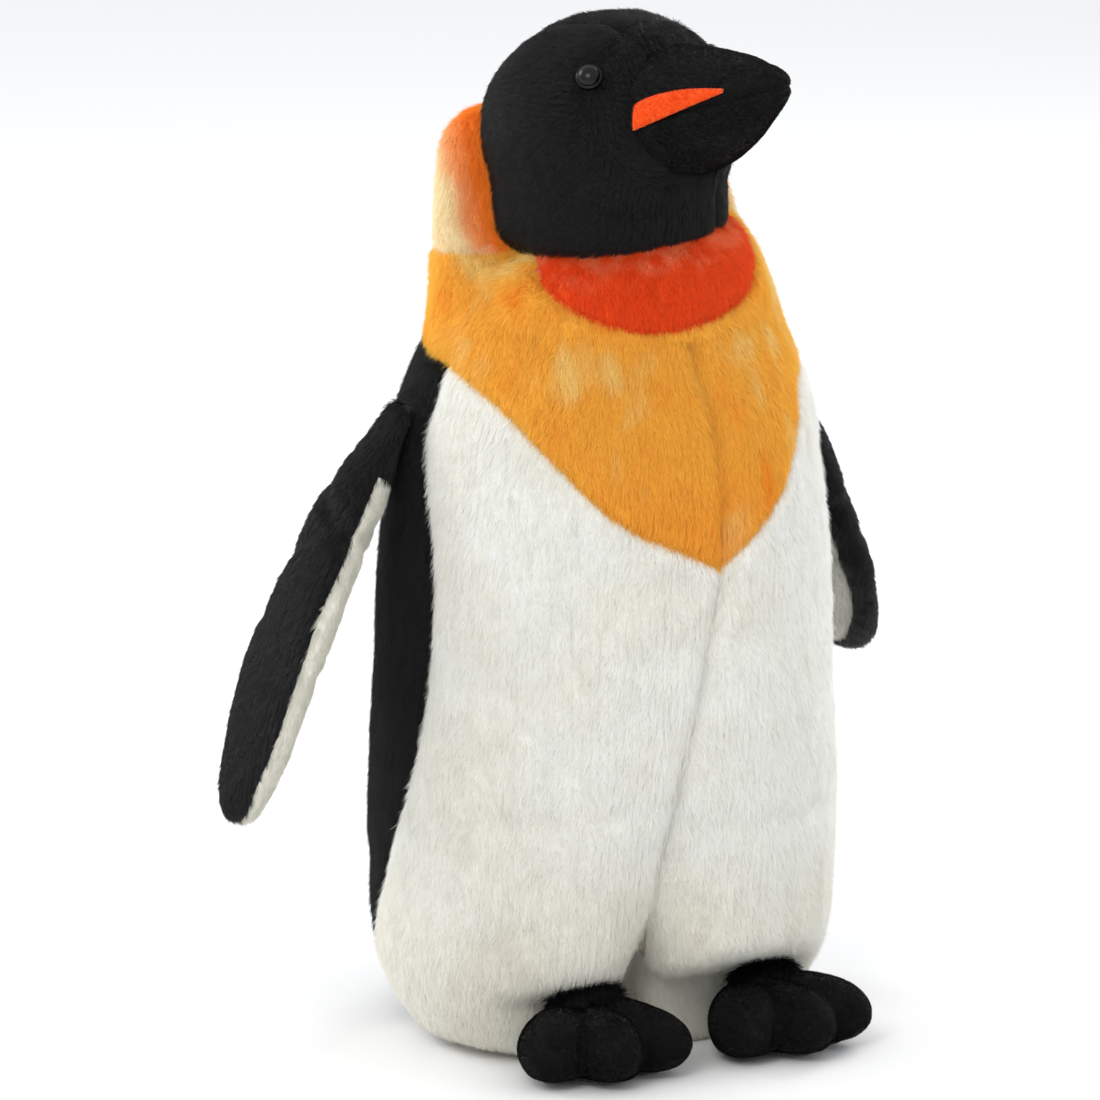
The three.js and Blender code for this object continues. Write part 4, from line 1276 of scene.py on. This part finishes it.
for word, side in SIDES:
    place, body = FOOT[word], f"foot_{word}"
    bm = bmesh.new()
    for angle, reach in TOES:
        r = math.radians(angle)
        at = (reach * math.sin(r) * 1.05, 2 - reach * math.cos(r), TOE_HEIGHT)
        ellipsoid(bm, at, [h - 0.9 for h in TOE_HALF], angle)
    ellipsoid(bm, (0, -13, 12), [h - 0.9 for h in INSTEP_HALF], 0)
    me = bpy.data.meshes.new("foot_skin")
    bm.to_mesh(me)
    bm.free()
    skin = bpy.data.objects.new("foot_skin", me)
    bpy.context.scene.collection.objects.link(skin)
    q = points_of(skin)
    q[:, 2] = np.maximum(q[:, 2], 0.4)
    set_points(skin, place.out(q))
    remeshed(skin, 1.9, soften=4)
    q = place.into(points_of(skin))
    held = np.maximum(1 - smooth(q[:, 2], 2, 5), 1 - smooth(toe_gap(q), 0.8, 3))
    held = np.maximum(held, smooth(q[:, 1], -8, 0))
    settled(skin, held, 1.4, pressure=5)
    p, n = points_of(skin), normals_of(skin)
    q = place.into(p)
    push = -1.2 * np.exp(-((toe_gap(q) / 1.9) ** 2)) * smooth(q[:, 2], 2, 8)
    push -= 0.8 * np.exp(-(((q[:, 2] - SOLE_TOP) / 1.2) ** 2))
    push += 0.6 * noise(p, 14, 91) + 0.1 * noise(p, 1.6, 92)
    p = p + n * push[:, None]
    p[:, 2] = np.maximum(p[:, 2], 0)
    set_points(skin, p)
    cut_along(skin, [lambda w: w[:, 2] - SOLE_TOP, lambda w, place=place: place.into(w)[:, 1] + 0.3])
    c = centres_of(skin)
    ahead = place.into(c)[:, 1] < -0.3
    to_toes = lie(place, (0, -1, -0.3))
    ob = taken(skin, f"foot_upper_{word}_velour", ahead & (c[:, 2] > SOLE_TOP))
    tinted(ob, black_colour)
    grow(f"foot_upper_{word}_strands", body, ob, to_toes, 1.5, 8, M["velour_strand"], lift=0.6, radius=0.075,
         clump=1.3, pull=0.3, seed=94 + side, joints=3)
    sewn_piece(ob, body, "foot_velour", M["velour"], [f"foot_upper_{word}"], thick=1.2)
    ob = taken(skin, f"foot_sole_{word}_velour", ahead & (c[:, 2] < SOLE_TOP))
    tinted(ob, black_colour)
    sewn_piece(ob, body, "foot_velour", M["velour"], [f"foot_sole_{word}"], thick=0.9)
    drop(skin)

    # Strip of long pile over the seam between foot and leg.
    rings = []
    for tilt in np.radians(np.linspace(-42, 42, 40)):
        t = np.linspace(0, 2 * math.pi, 18, endpoint=False)
        reach = 17.2 + 1.8 * np.cos(t)
        rings.append(place.out(np.stack(
            [1.12 * reach * math.sin(tilt), -5 + 2.8 * np.sin(t), 13 + reach * math.cos(tilt)], -1)))
    ob = closed(f"ankle_cuff_{word}_pile", rings)
    relief(ob, 0.35, 3, 96)
    tinted(ob, black_colour)
    grow(f"ankle_cuff_{word}_strands", body, ob, lie(place, (0, -0.85, -0.55)), 7.5, 8, M["black_strand"],
         lift=0.5, radius=0.11, clump=3.4, wander=0.45, seed=97 + side, joints=6)
    put(ob, body, "black_pile", M["black"], f"ankle_cuff_{word}")


# ---------------------------------------------------------------- tail
def tail_ring(v, inset):
    wide, thick = 22.5 - 14 * v - inset, 12.5 - 6 * v - inset
    t = np.linspace(0, 2 * math.pi, 48, endpoint=False)
    y, z = 62 + (103 - inset - 62) * v, 64 - (45 - inset) * v ** 0.9
    return np.stack([wide * np.cos(t), y + 0.6 * thick * np.sin(t), z + 0.8 * thick * np.sin(t)], -1)


skin = closed("tail_skin", [tail_ring(v, 1.2) for v in np.linspace(0, 1, 30)])
remeshed(skin, 2.2, soften=3)
p = points_of(skin)
settled(skin, 1 - smooth(p[:, 1], 66, 74), 1.5)
relief(skin, 0.4, (3, 3, 6), 101)
c = centres_of(skin)
deep = trunk(trunk_angle(c), c[:, 2], 6)
ob = taken(skin, "tail_cover_pile", np.hypot(c[:, 0], c[:, 1]) > np.hypot(deep[:, 0], deep[:, 1]))
tinted(ob, black_colour)
grow("tail_cover_strands", "root", ob, lie(HERE, (0, 0.6, -0.8)), 4.6, 3, M["black_strand"], seed=102)
sewn_piece(ob, "root", "black_pile", M["black"], ["tail_cover"])
drop(skin)


# ---------------------------------------------------------------- what is inside
def inner(node_name, body, slot, material, lumps, size):
    """A softer copy of a hidden core: rounded, and lumpy as loose fill is."""
    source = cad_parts[node_name]
    ob = bpy.data.objects.new(node_name + "_core", source.data.copy())
    bpy.context.scene.collection.objects.link(ob)
    remeshed(ob, size, soften=4)
    set_points(ob, points_of(ob) - 0.6 * normals_of(ob))
    relief(ob, lumps, 9, 111)
    if body in ("flipper_left", "flipper_right"):
        word = body[8:]
        set_points(ob, FLIPPER[word].out(CAD_FLIPPER[word].into(points_of(ob))))
    if body == "root" and node_name != "tail_stuffing":
        p = points_of(ob)
        middle = np.stack([0 * p[:, 2], lean(p[:, 2])], -1)
        wall = trunk(trunk_angle(p), p[:, 2], 9)[:, :2] - middle
        reach = np.linalg.norm(p[:, :2] - middle, axis=1)
        room = np.linalg.norm(wall, axis=1) - 2 * notch_depth(p)
        p[:, :2] = middle + (p[:, :2] - middle) * np.clip(room / np.maximum(reach, 1), 0, 1)[:, None]
        set_points(ob, p)
    put(ob, body, slot, material, node_name)


INSIDE = [
    ("torso_stuffing", "root", 3.0), ("tail_stuffing", "root", 1.6), ("neck_stuffing", "neck", 1.6),
    ("head_stuffing", "head", 2.2), ("beak_stuffing", "head", 1.6),
    *[(f"flipper_stuffing_{w}", f"flipper_{w}", 1.6) for w in ("left", "right")],
    *[(f"foot_stuffing_{w}", f"foot_{w}", 1.6) for w in ("left", "right")],
]
for name, body, size in INSIDE:
    inner(name, body, "fibrefill", M["fill"], 0.35, size)
inner("pellet_bag", "root", "pellet_cloth", M["pellets"], 0.3, 2.2)
